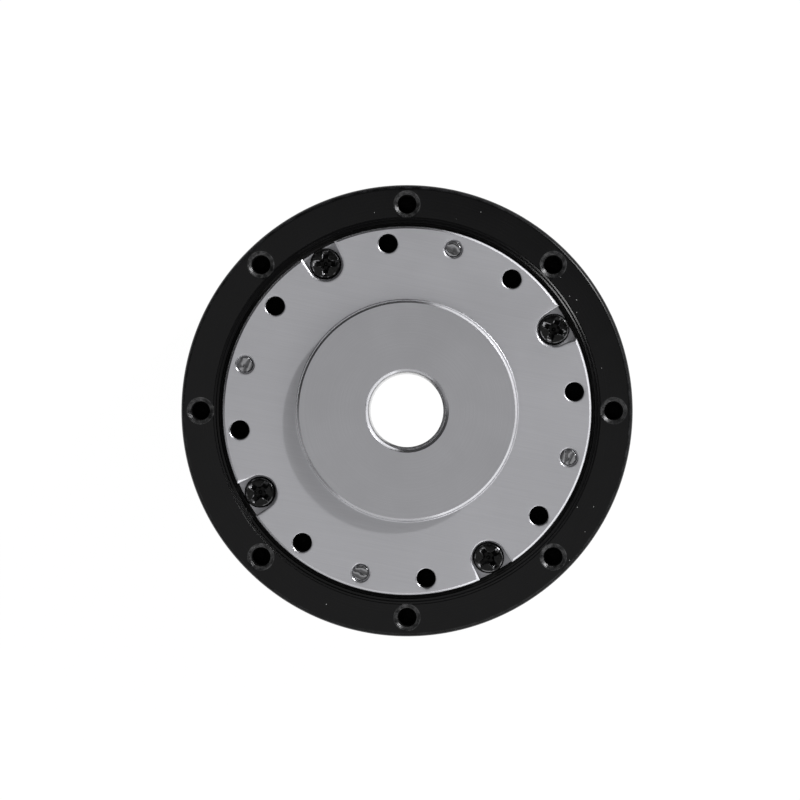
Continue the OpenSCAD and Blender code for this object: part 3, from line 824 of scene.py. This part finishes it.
JOURNAL_R, CAM_R, CAM_LOW, CAM_SPLIT, CAM_TOP, THROW = 7.5, 8.2, 8.1, 12.45, 16.8, 0.6


def rounding(r, z, size, steps=6):
    """A convex quarter round of a size, from a wall at the radius r up to a level face at the height z."""
    turn = [math.radians(90 * k / steps) for k in range(steps + 1)]
    return [(r - size * (1 - math.cos(a)), z - size * (1 - math.sin(a))) for a in turn]


def mouth_lips(top):
    """Two fine lips round the housing's mouth, from the front face inwards and down to the bore."""
    pitch = mm(sizes().lip_pitch)
    outer = BEARING_BORE_R + 0.64
    inner = outer - pitch
    return [
        (outer + 0.17, top), (outer + 0.12, top - 0.16), (outer - 0.17, top - 0.03),
        (outer - 0.21, top - 0.04), (inner + 0.32, top - 0.27), (inner + 0.02, top - 0.14),
        (inner - 0.03, top - 0.15), (inner - 0.08, top - 0.24), (inner - 0.12, top - 0.8),
        (BEARING_BORE_R, top - 0.9),
    ]


def housing_section():
    """The housing from its rear face round by the outside, the mouth, the raceway and the pin wall."""
    s = sizes()
    v = OUTER_V_R - BEARING_BORE_R
    corners = [
        (RECESS_R + RECESS_CORNER, HOUSING_LOW), (BODY_R - BREAK, HOUSING_LOW), (BODY_R, HOUSING_LOW + BREAK),
        *rounding(BODY_R, HOUSING_TOP, mm(s.housing_round)), *mouth_lips(HOUSING_TOP),
        (BEARING_BORE_R, SEAL_HIGH), (SEAL_GROOVE_R, SEAL_HIGH), (SEAL_GROOVE_R, SEAL_LOW),
        (BEARING_BORE_R, SEAL_LOW), (BEARING_BORE_R, SPLIT + v), (OUTER_V_R, SPLIT),
        (BEARING_BORE_R, SPLIT - v), (BEARING_BORE_R, PIN_TOP), (PIN_WALL_R, PIN_TOP),
        (PIN_WALL_R, COVER_TOP), (RECESS_R, COVER_TOP), (RECESS_R, HOUSING_LOW + RECESS_CORNER),
    ]
    return eased(corners, mm(s.ease))


def cover_section():
    """The rear cover from its register round by the outside and the spigot to the bearing seat."""
    groove_r = SEAT_REAR_R - RING_GROOVE_DEPTH
    corners = [
        (REGISTER_R + WIDE_BREAK, 0), (BODY_R - WIDE_BREAK, 0), (BODY_R, WIDE_BREAK),
        (BODY_R, HOUSING_LOW - BREAK), (BODY_R - BREAK, HOUSING_LOW), (SPIGOT_R, HOUSING_LOW),
        (SPIGOT_R, COVER_TOP - BREAK), (SPIGOT_R - BREAK, COVER_TOP), (SEAT_REAR_R, COVER_TOP),
        (SEAT_REAR_R, RING_GROOVE_HIGH), (groove_r, RING_GROOVE_HIGH), (groove_r, RING_GROOVE_LOW),
        (SEAT_REAR_R, RING_GROOVE_LOW), (SEAT_REAR_R, REGISTER_DEPTH), (REGISTER_R, REGISTER_DEPTH),
        (REGISTER_R, WIDE_BREAK),
    ]
    return eased(corners, mm(sizes().ease))


def flange_section():
    """The output flange from its recess round by the raceway, the face and the boss to the bore."""
    s = sizes()
    edge, rim, slope = mm(s.flange_chamfer), mm(s.boss_chamfer), s.flat_slope
    outer, steep, mouth = mm(s.flange_break), mm(s.boss_break), mm(s.bore_chamfer)
    floor, lip = FLANGE_TOP - mm(s.notch_depth), 0.1
    v = FLANGE_R - INNER_V_R
    nose = mm(s.root_r)
    steps = [math.radians(a) for a in (0, 12, 24, 36, 50, 70, 90)]
    root = [
        (BOSS_R + nose * (1 - math.sin(a)), FLANGE_TOP + nose * (1 - math.cos(a))) for a in steps
    ]
    corners = [
        (SEAT_FRONT_R, SPLIT), (INNER_V_R, SPLIT), (FLANGE_R, SPLIT + v),
        (FLANGE_R, floor - lip * slope), (FLANGE_R - lip, floor), (FLANGE_R, floor + lip * slope),
        (FLANGE_R, FLANGE_TOP - edge * slope - 2 * outer), (FLANGE_R - outer, FLANGE_TOP - edge * slope),
        (FLANGE_R - outer - edge, FLANGE_TOP), *root,
        (BOSS_R, BOSS_TOP - rim * slope - steep), (BOSS_R - steep, BOSS_TOP - rim * slope),
        (BOSS_R - steep - rim, BOSS_TOP), (BORE_R + mouth, BOSS_TOP), (BORE_R, BOSS_TOP - mouth * slope),
        (BORE_R, SEAT_FRONT_TOP), (SEAT_FRONT_R, SEAT_FRONT_TOP),
    ]
    return eased(corners, mm(s.ease))


# ---- Pieces ----

class REDUCER_OT_housing(bpy.types.Operator):
    """Turn the housing, bore its pin pockets and drill its threaded holes"""
    bl_idname = "reducer.housing"
    bl_label = "Housing"

    def execute(self, context):
        s = sizes()
        circle_r, hole_r, top = circle_of("housing_bolts")
        wide, deep = mm(s.hole_chamfer), mm(s.hole_sink)
        piece = turned_ring("housing_shell", housing_section(), s.segments)
        hole = drill(hole_r, top, HOUSING_HOLE_DEPTH, wide, deep, marks=2)
        holes = copies_around(hole, 8, circle_r)
        rear = drill(SCREW_HOLE_R, -HOUSING_LOW, SCREW_HOLE_DEPTH, 0.1)
        rear = upside_down(copies_around(rear, 8, circle_r, COVER_SCREW_TURN))
        ends = [(PIN_POCKET_R, HOUSING_LOW - 1), (PIN_POCKET_R, PIN_TOP + 0.5)]
        pockets = copies_around(turned_bar("pockets", ends, 24), 32, PIN_CIRCLE_R)
        cut(piece, holes, rear, pockets)
        finished(piece, "fixed_housing", once("Housing black", ring_black), ["housing"])
        centres, sink_z = places(8, circle_r), top - deep - SLACK
        sink = once("Bare countersink", countersunk)
        bored(piece, sink, centres, hole_r + wide + SLACK, sink_z, top - 0.01)
        hole_shade = once("Oiled bore", painted_shade_bore)
        # the holes' walls and threads below the countersinks are painted near black as shade
        bored(piece, hole_shade, centres, hole_r + SLACK, top - HOLE_REACH, sink_z)
        crest = hole_r - mm(s.thread_height)
        ridge = thread("housing_threads", hole_r, crest, mm(s.thread_pitch), top - 5.3, top - 0.55)
        threaded(ridge, (8, circle_r), "fixed_housing", hole_shade)
        return {"FINISHED"}


class REDUCER_OT_rear_cover(bpy.types.Operator):
    """Turn the rear cover, drill the motor's holes and sink the cover screws' heads"""
    bl_idname = "reducer.rear_cover"
    bl_label = "Rear cover"

    def execute(self, context):
        s = sizes()
        circle_r, hole_r, _ = circle_of("motor_bolts")
        screw_circle_r = circle_of("housing_bolts")[0]
        piece = turned_ring("cover_shell", cover_section(), s.segments)
        motor = drill(hole_r, 0, MOTOR_HOLE_DEPTH, mm(s.thread_chamfer))
        motor = upside_down(copies_around(motor, 4, circle_r))
        section = [
            (CLEARANCE_R, 10), (CLEARANCE_R, HEAD_SEAT_DEPTH), (HEAD_SEAT_R, HEAD_SEAT_DEPTH),
            (HEAD_SEAT_R, 0.08), (HEAD_SEAT_R + 0.15, -0.08), (HEAD_SEAT_R + 0.15, -1),
        ]
        seat = turned_bar("seat", section, s.hole_segments)
        cut(piece, motor, copies_around(seat, 8, screw_circle_r, COVER_SCREW_TURN))
        finished(piece, "fixed_housing", once("Cover black", ring_black), ["rear_cover"])
        crest = hole_r - mm(s.thread_height)
        ridge = thread("cover_threads", hole_r, crest, mm(s.thread_pitch), 0.35, 5.7)
        hole_shade = once("Oiled bore", painted_shade_bore)
        threaded(ridge, (4, circle_r), "fixed_housing", hole_shade)
        return {"FINISHED"}


class REDUCER_OT_output_flange(bpy.types.Operator):
    """Turn the output flange and cut its threaded holes, screw notches and dowel holes"""
    bl_idname = "reducer.output_flange"
    bl_label = "Output flange"

    def notch(self):
        """Cutters for a screw's notch, a round pocket drawn out past the flange's edge, and for its hole."""
        s = sizes()
        r, edge, slope = mm(s.notch_r), mm(s.notch_chamfer), s.flat_slope
        floor = FLANGE_TOP - mm(s.notch_depth)
        section = [(r, floor), (r, FLANGE_TOP - edge * slope), (r + 2 * edge, FLANGE_TOP + edge * slope)]
        pocket = turned_bar("notch", section, 64)
        reach, flare = 4, 1.1
        for vertex in pocket.data.vertices:
            if vertex.co.x > 0:
                vertex.co.x += reach
                vertex.co.y *= flare
        hole = turned_bar("screw_hole", [(CLEARANCE_R, SPLIT - 1), (CLEARANCE_R, FLANGE_TOP)], 32)
        return pocket, hole

    def execute(self, context):
        s = sizes()
        circle_r, hole_r, top = circle_of("output_bolts")
        piece = turned_ring("flange_shell", flange_section(), s.segments)
        wide = mm(s.thread_chamfer)
        deep = wide * s.flat_slope
        hole = drill(hole_r, top, FLANGE_HOLE_DEPTH, wide, deep)
        holes = copies_around(hole, 8, circle_r, PATTERN_TURN)
        dowel = drill(DOWEL_HOLE_R, top, DOWEL_HOLE_DEPTH, 0.1, tip=False)
        dowels = copies_around(dowel, 4, circle_r, DOWEL_TURN)
        rim = drill(mm(s.dowel_rim_r), top, DOWEL_RIM_DEPTH, wide, deep, tip=False)
        rims = copies_around(rim, 4, circle_r, DOWEL_TURN)
        pockets, screw_holes = [copies_around(one, 4, circle_r, SCREW_TURN) for one in self.notch()]
        cut(piece, holes, dowels, rims, pockets, screw_holes)
        finished(piece, "output", once("Flange grey", flange_grey), ["output_flange"])
        hole_shade = once("Oiled bore", painted_shade_bore)
        centres = places(8, circle_r, PATTERN_TURN)
        bored(piece, hole_shade, centres, hole_r + SLACK, top - HOLE_REACH, top - deep - 0.02)
        modify(piece, "TRIANGULATE", min_vertices=5, keep_custom_normals=True)
        crest = hole_r - mm(s.thread_height)
        ridge = thread("flange_threads", hole_r, crest, mm(s.thread_pitch), top - 5.8, top - 0.35)
        threaded(ridge, (8, circle_r, PATTERN_TURN), "output", hole_shade)
        return {"FINISHED"}


class REDUCER_OT_flange_screws(bpy.types.Operator):
    """Model one cross-recessed pan head screw and set four in the flange's notches"""
    bl_idname = "reducer.flange_screws"
    bl_label = "Flange screws"

    def block(self, size, height, turn):
        """A box of a size, its middle on the axis at a height, turned about the axis."""
        deselect()
        bpy.ops.mesh.primitive_cube_add(size=1, location=(0, 0, height))
        piece = bpy.context.object
        piece.scale = size
        piece.rotation_euler = (0, 0, math.radians(turn))
        return settle(piece)

    def recess(self, top):
        """Cutters for a cross recess: two crossed wings with a flared mouth each, and a pointed core."""
        pieces = []
        for turn, taper_x, taper_y in ((0, 0.45, 0.8), (90, 0.8, 0.45)):
            wing = self.block((3.8, 0.84, 1.9), top - 0.45, turn)
            for vertex in wing.data.vertices:
                if vertex.co.z < top - 0.5:
                    vertex.co.x *= taper_x
                    vertex.co.y *= taper_y
            modify(wing, "BEVEL", width=0.07, segments=2, limit_method="ANGLE")
            mouth = self.block((5.0, 2.04, 0.6), top, turn)
            inset = 0.9
            for vertex in mouth.data.vertices:
                if vertex.co.z < top:
                    vertex.co.x -= math.copysign(inset, vertex.co.x)
                    vertex.co.y -= math.copysign(inset, vertex.co.y)
            pieces += [wing, mouth]
        pieces.append(turned_bar("core", [(0.1, top - 1.6), (0.7, top - 1.1), (0.95, top + 0.3)], 32))
        return pieces

    def execute(self, context):
        s = sizes()
        circle_r = circle_of("output_bolts")[0]
        r, h = mm(s.pan_head_r), mm(s.pan_head_h)
        floor = FLANGE_TOP - mm(s.notch_depth)
        shoulder, crown = mm(s.pan_shoulder), 0.08
        shank = [(0.9, -8.0), (1.18, -7.7), (1.18, -0.1), (1.3, 0.0)]
        under = [(r - 0.25, 0.0), (r - 0.06, 0.12), (r, 0.3)]
        turn = [math.radians(a) for a in range(0, 76, 15)]
        round_off = [
            (r - shoulder * (1 - math.cos(a)), h - crown - shoulder * (1 - math.sin(a))) for a in turn
        ]
        flat_r = round_off[-1][0]
        dome = [(max(0.02, flat_r * k / 6), h - crown * (k / 6) ** 2) for k in range(5, -1, -1)]
        piece = turned_bar("pan_screw", shank + under + round_off + dome, 64)
        cut(piece, *self.recess(h))
        modify(piece, "BEVEL", width=0.035, segments=2, limit_method="ANGLE", angle_limit=math.radians(48))
        clean(piece, 0.002)
        for vertex in piece.data.vertices:
            vertex.co.z += floor
        screws = copies_around(piece, 4, circle_r, SCREW_TURN, spin=(38, 61, 24, 8))
        black = once("Oxide black", oxide_black)
        finished(screws, "output", black, ["flange_screws"], angle=28)
        centres = places(4, circle_r, SCREW_TURN)
        rim_z, recess_r, rim_r = floor + h - crown - 0.16, 1.75, 2.1
        # the cross recess is painted near black as shade
        bored(screws, once("Oiled bore", painted_shade_bore), centres, recess_r, floor + 0.3, rim_z)
        screws.data.materials.append(once("Rubbed edge", rubbed_edge))
        bright_edge = len(screws.data.materials) - 1
        for face in screws.data.polygons:
            x, y, z = face.center / MM
            near = min((Vector((x, y)) - Vector(c)).length for c in centres)
            if z > rim_z and near < rim_r and 0.05 < face.normal.z < 0.95:
                face.material_index = bright_edge
        return {"FINISHED"}


class REDUCER_OT_cover_screws(bpy.types.Operator):
    """Model one socket head screw and set eight in the rear cover"""
    bl_idname = "reducer.cover_screws"
    bl_label = "Cover screws"

    def execute(self, context):
        circle_r = circle_of("housing_bolts")[0]
        under = 0.3
        head, shank = under + 2.5, under + 12.2
        section = [
            (2.0, under), (2.25, under + 0.25), (2.25, head), (1.2, head), (1.2, shank), (0.9, under + 12.5),
        ]
        piece = turned_bar("cap_screw", eased(section, 0.06, closed=False), 64)
        deselect()
        place = (0, 0, under + 0.05)
        bpy.ops.mesh.primitive_cylinder_add(vertices=6, radius=1.16, depth=2.6, location=place)
        socket = settle(bpy.context.object)
        cone = turned_bar("countersink", [(0.9, under + 0.35), (1.35, under - 0.1)], 48)
        cut(piece, socket, cone)
        modify(piece, "BEVEL", width=0.03, segments=2, limit_method="ANGLE", angle_limit=math.radians(35))
        spin = [i * 37 % 60 for i in range(8)]
        screws = copies_around(piece, 8, circle_r, COVER_SCREW_TURN, spin)
        finished(screws, "fixed_housing", once("Oxide black", oxide_black), ["cover_screws"])
        return {"FINISHED"}


class REDUCER_OT_dowels(bpy.types.Operator):
    """Turn one dowel with a dimpled, eased end and set four in the flange"""
    bl_idname = "reducer.dowels"
    bl_label = "Dowels"

    def execute(self, context):
        circle_r = circle_of("output_bolts")[0]
        top = FLANGE_TOP - mm(sizes().dowel_sink)
        section = [
            (1.05, top - 10), (1.25, top - 9.8), (1.25, top - 0.22), (1.21, top - 0.1), (1.1, top - 0.02),
            (0.95, top), (0.5, top - 0.02), (0.2, top - 0.07), (0.02, top - 0.09),
        ]
        piece = turned_bar("dowel", section, 64)
        dowels = copies_around(piece, 4, circle_r, DOWEL_TURN)
        finished(dowels, "output", once("Dowel end", dowel_end), ["dowel_pins"], angle=40)
        return {"FINISHED"}


class REDUCER_OT_seals(bpy.types.Operator):
    """Turn the flange seal and the rear shaft seal with their lips"""
    bl_idname = "reducer.seals"
    bl_label = "Seals"

    def execute(self, context):
        s = sizes()
        inner, outer = low("flange_seal")[2], high("flange_seal")[2]
        lip_r = FLANGE_R + 0.05
        wall_r = high("flange_seal")[0]
        section = [
            (wall_r, inner), (wall_r, outer), (29.4, outer), (29.2, outer - 0.16), (28.95, outer - 0.18),
            (28.75, outer - 0.06), (lip_r, outer), (lip_r, outer - 0.3), (lip_r + 0.35, inner),
        ]
        rubber = once("Seal rubber", seal_rubber)
        front = turned_ring("flange_lip_seal", eased(section, 0.05), s.segments)
        finished(front, "fixed_housing", rubber, ["flange_seal"])
        bottom, top = low("rear_shaft_seal")[2], high("rear_shaft_seal")[2]
        seat_r = high("rear_shaft_seal")[0]
        section = [
            (10.05, bottom + 1.05), (10.4, bottom + 0.5), (10.55, bottom), (10.95, bottom),
            (11.2, bottom + 0.3), (12.4, bottom + 0.3), (12.7, bottom), (seat_r, bottom), (seat_r, top),
            (10.55, top),
        ]
        rear = turned_ring("shaft_lip_seal", eased(section, 0.08), s.segments // 2)
        finished(rear, "fixed_housing", rubber, ["rear_shaft_seal"])
        return {"FINISHED"}


class REDUCER_OT_input_shaft(bpy.types.Operator):
    """Turn the hollow shaft's journals and its two cams and thread the holes in its end"""
    bl_idname = "reducer.input_shaft"
    bl_label = "Input shaft"

    def execute(self, context):
        s = sizes()
        circle_r, hole_r, low_z = circle_of("input_bolts")
        bar = [
            (9.75, SHAFT_LOW), (10.0, SHAFT_LOW + 0.25), (10.0, CAM_LOW), (JOURNAL_R, CAM_LOW),
            (JOURNAL_R, 16.6), (8.0, 16.6), (8.0, 17.0), (JOURNAL_R, 17.0), (JOURNAL_R, 21.0), (7.1, 21.0),
            (7.1, 21.65), (JOURNAL_R, 21.65), (JOURNAL_R, SHAFT_TOP - BREAK), (JOURNAL_R - BREAK, SHAFT_TOP),
        ]
        bore = [(BORE_R, SHAFT_TOP), (BORE_R, SHAFT_LOW + WIDE_BREAK), (BORE_R + WIDE_BREAK, SHAFT_LOW)]
        piece = turned_ring("hollow_shaft", eased(bar + bore, 0.05), s.segments // 2)
        cut(piece, copies_around(upside_down(drill(hole_r, -low_z, SHAFT_HOLE_DEPTH, 0.15)), 4, circle_r))
        cams = []
        levels = (("rear_cam", -THROW, CAM_LOW, CAM_SPLIT), ("front_cam", THROW, CAM_SPLIT, CAM_TOP))
        for name, offset, bottom, top in levels:
            section = [
                (CAM_R - BREAK, bottom), (CAM_R, bottom), (CAM_R, top), (CAM_R - BREAK, top),
                (7.35, top), (7.35, bottom),
            ]
            cam = turned_ring(name, eased(section, 0.04), s.segments // 2)
            cam.location.x = offset
            cams.append(settle(cam))
        material = once("Shaft steel", lambda name: polished_steel(name, (0.6, 0.6, 0.62), 0.14))
        pick(piece, *cams)
        bpy.ops.object.join()
        finished(bpy.context.object, "input", material, ["input_shaft"])
        ridge = thread("shaft_threads", hole_r, hole_r - 0.1, mm(s.fine_pitch), low_z + 0.25, low_z + 3.9)
        threaded(ridge, (4, circle_r), "input", material)
        return {"FINISHED"}


class REDUCER_OT_inner_finish(bpy.types.Operator):
    """Finish the CAD nodes that stay: discs, pins, rollers, races, cages and seals"""
    bl_idname = "reducer.inner_finish"
    bl_label = "Inner parts"

    def execute(self, context):
        bright = once("Bearing steel", polished_steel)
        disc = once("Disc steel", ground_disc)
        brass = once("Cage brass", cage_brass)
        rubber = once("Seal rubber", seal_rubber)
        carrier_grey, spring_grey = (0.42, 0.42, 0.44), (0.16, 0.16, 0.18)
        finish = {
            "ring_pins": bright, "output_pins": bright, "main_rollers": bright,
            "cycloid_disc_front": disc, "cycloid_disc_rear": disc,
            "pin_carrier": once("Carrier steel", lambda name: polished_steel(name, carrier_grey, 0.3)),
            "shaft_snap_ring": once("Spring steel", lambda name: polished_steel(name, spring_grey, 0.3)),
            "roller_spacers": once("Spacer plastic", spacer_plastic),
            "cover_o_ring": rubber, "front_shaft_seal": rubber,
        }
        for end in ("front", "rear"):
            for kind in ("cam_needles", "bearing_balls", "bearing_outer_race", "bearing_inner_race"):
                finish[f"{end}_{kind}"] = bright
            finish[f"{end}_cam_cage"] = finish[f"{end}_bearing_cage"] = brass
        finish.update({name: bright for name in frame["nodes"] if name.startswith("pin_sleeve_")})
        for node, material in finish.items():
            for slot in frame["nodes"][node].material_slots:
                slot.material = material
        return {"FINISHED"}


# ---- Stage ----

CAMERA_HEIGHT = 0.408
CAMERA_LENS = 110.5
CAMERA_SHIFT = (-0.0088, 0.0134)
LIGHT_TURN, LIGHT_HEIGHT = 42.0, 32.0
GLINT_TURN, GLINT_HEIGHT = 36.0, 44
PANEL_DISTANCE, PANEL_HEIGHT = 0.55, 29
STRIP_DISTANCE, STRIP_HEIGHT = 0.5, 7
# Name, direction, half the width in degrees and strength of the panels that the flat chamfers show.
PANELS = (
    ("right panel", 33, 38, 1.7), ("lower right panel", 318, 28, 1.6), ("lower panel", 262, 27, 0.85),
    ("left panel", 207, 25, 0.3),
)


class REDUCER_OT_stage(bpy.types.Operator):
    """Lay a pale floor, hang soft lamps and set the camera over the output side"""
    bl_idname = "reducer.stage"
    bl_label = "Stage"

    def floor(self):
        """A pale floor that shows white and keeps a soft shadow, but for painted light near the axis that
        clears the shadow seen through the bore.
        """
        deselect()
        bpy.ops.mesh.primitive_circle_add(vertices=96, radius=4, fill_type="NGON", location=(0, 0, -0.0002))
        piece = settle(named(bpy.context.object, "studio_floor"))
        material, nodes, shader = blank("Studio floor", Roughness=0.9, Specular_IOR_Level=0.1)
        shader.inputs["Base Color"].default_value = rgba(colours().floor)
        path = nodes.new("ShaderNodeLightPath")
        radius, place, _ = axis_radius(nodes)
        aside = nodes.new("ShaderNodeVectorMath")
        aside.operation = "DISTANCE"
        wire(aside.inputs[0], place)
        aside.inputs[1].default_value = (0.0026, -0.002, 0.0)
        open_floor = between(nodes, aside.outputs["Value"], 0.0056, 0.0068)
        shiny, clear = path.outputs["Is Glossy Ray"], path.outputs["Is Transmission Ray"]
        mirrored = math_node(nodes, "MULTIPLY", math_node(nodes, "MAXIMUM", shiny, clear), open_floor)
        seen = math_node(nodes, "MAXIMUM", path.outputs["Is Camera Ray"], mirrored)
        glow = nodes.new("ShaderNodeEmission")
        glow.inputs["Strength"].default_value = 1.04
        mixed = nodes.new("ShaderNodeMixShader")
        # painted light: near the axis the floor shows pure glow, clearing the object's shadow where the bore
        # looks through
        share = between(nodes, radius, 0.015, 0.03, 1.0, 0.95)
        wire(mixed.inputs[0], math_node(nodes, "MULTIPLY", seen, share))
        wire(mixed.inputs[1], shader.outputs[0])
        wire(mixed.inputs[2], glow.outputs[0])
        output = next(n for n in nodes if n.type == "OUTPUT_MATERIAL")
        wire(output.inputs["Surface"], mixed.outputs[0])
        piece.data.materials.append(material)
        piece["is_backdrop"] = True

    def world(self):
        """An even grey light that the camera sees as white."""
        world = bpy.data.worlds.new("Studio")
        bpy.context.scene.world = world
        world.use_nodes = True
        nodes = world.node_tree.nodes
        light = next(n for n in nodes if n.type == "BACKGROUND")
        light.inputs["Color"].default_value = (1.0, 1.0, 1.0, 1.0)
        path = nodes.new("ShaderNodeLightPath")
        wire(light.inputs["Strength"], between(nodes, path.outputs["Is Camera Ray"], 0.0, 1.0, 0.05, 1.0))

    def lamp(self, name, size, strength, place, target=(0, 0, 0), diffuse=True, glossy=True):
        """A rectangular soft lamp of a given brightness at a place, looking at a target.

        It can leave out matt or shiny reflections."""
        deselect()
        bpy.ops.object.light_add(type="AREA", location=place)
        lamp = bpy.context.object
        lamp.name = name
        lamp.data.shape = "RECTANGLE"
        lamp.data.size, lamp.data.size_y = size
        lamp.data.energy = strength * math.pi * size[0] * size[1]
        lamp.rotation_mode = "QUATERNION"
        lamp.rotation_quaternion = (Vector(target) - Vector(place)).to_track_quat("-Z", "Y")
        lamp.visible_diffuse = diffuse
        lamp.visible_glossy = glossy

    def towards(self, azimuth, elevation, distance):
        """The place at a distance in a direction given in degrees."""
        a, e = math.radians(azimuth), math.radians(elevation)
        return [distance * c for c in (math.cos(a) * math.cos(e), math.sin(a) * math.cos(e), math.sin(e))]

    def execute(self, context):
        self.floor()
        self.world()
        self.lamp("overhead", (2.2, 1.3), 0.48, (-0.2, -0.4, 1.1))
        key = self.towards(LIGHT_TURN, LIGHT_HEIGHT, 1.5)
        self.lamp("key", (0.11, 0.11), 500.0, key, glossy=False)
        glint = self.towards(GLINT_TURN, GLINT_HEIGHT, 0.75)
        self.lamp("glint", (0.13, 0.13), 21.0, glint, diffuse=False)
        for name, azimuth, half, strength in PANELS:
            width = 2 * PANEL_DISTANCE * math.tan(math.radians(half))
            self.lamp(name, (width, 0.18), strength, self.towards(azimuth, PANEL_HEIGHT, PANEL_DISTANCE))
        for azimuth in range(0, 360, 60):
            place = self.towards(azimuth, STRIP_HEIGHT, STRIP_DISTANCE)
            self.lamp("low strip", (0.5, 0.05), 1.0, place, (0, 0, place[2]))
        deselect()
        bpy.ops.object.camera_add(location=(0, 0, CAMERA_HEIGHT), rotation=(0, 0, 0))
        camera = bpy.context.object
        camera.name = "camera"
        camera.data.lens = CAMERA_LENS
        camera.data.sensor_width = 36
        camera.data.shift_x, camera.data.shift_y = CAMERA_SHIFT
        camera.data.clip_start, camera.data.clip_end = 0.01, 20
        context.scene.camera = camera
        context.scene.view_settings.view_transform = "Standard"
        return {"FINISHED"}


class REDUCER_PT_panel(bpy.types.Panel):
    """Lists the operators and the sizes"""
    bl_idname = "REDUCER_PT_panel"
    bl_label = "Cycloidal reducer"
    bl_space_type = "VIEW_3D"
    bl_region_type = "UI"
    bl_category = "Reducer"

    def draw(self, context):
        layout = self.layout
        for group in (context.scene.reducer_sizes, context.scene.reducer_finish):
            box = layout.box()
            for key in group.__annotations__:
                box.prop(group, key)
        for operator in OPERATORS:
            layout.operator(operator.bl_idname)


OPERATORS = (
    REDUCER_OT_housing, REDUCER_OT_rear_cover, REDUCER_OT_output_flange, REDUCER_OT_flange_screws,
    REDUCER_OT_cover_screws, REDUCER_OT_dowels, REDUCER_OT_seals, REDUCER_OT_input_shaft,
    REDUCER_OT_inner_finish, REDUCER_OT_stage,
)
CLASSES = (ReducerSizes, ReducerFinish, *OPERATORS, REDUCER_PT_panel)


def register():
    """Registers the classes and the scene's settings."""
    for cls in CLASSES:
        bpy.utils.register_class(cls)
    bpy.types.Scene.reducer_sizes = PointerProperty(type=ReducerSizes)
    bpy.types.Scene.reducer_finish = PointerProperty(type=ReducerFinish)


def unregister():
    """Removes what register added."""
    del bpy.types.Scene.reducer_sizes
    del bpy.types.Scene.reducer_finish
    for cls in reversed(CLASSES):
        bpy.utils.unregister_class(cls)


def corners():
    """The box of all that shows, as two plain lists."""
    return [[float(c) for c in corner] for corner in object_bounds()]


def main():
    """Models and finishes the whole reducer."""
    register()
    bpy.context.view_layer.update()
    bpy.ops.reducer.housing()
    bpy.ops.reducer.rear_cover()
    bpy.ops.reducer.output_flange()
    bpy.ops.reducer.flange_screws()
    bpy.ops.reducer.cover_screws()
    bpy.ops.reducer.dowels()
    bpy.ops.reducer.seals()
    bpy.ops.reducer.input_shaft()
    bpy.ops.reducer.inner_finish()
    bpy.ops.reducer.stage()


if __name__ == "__main__":
    main()
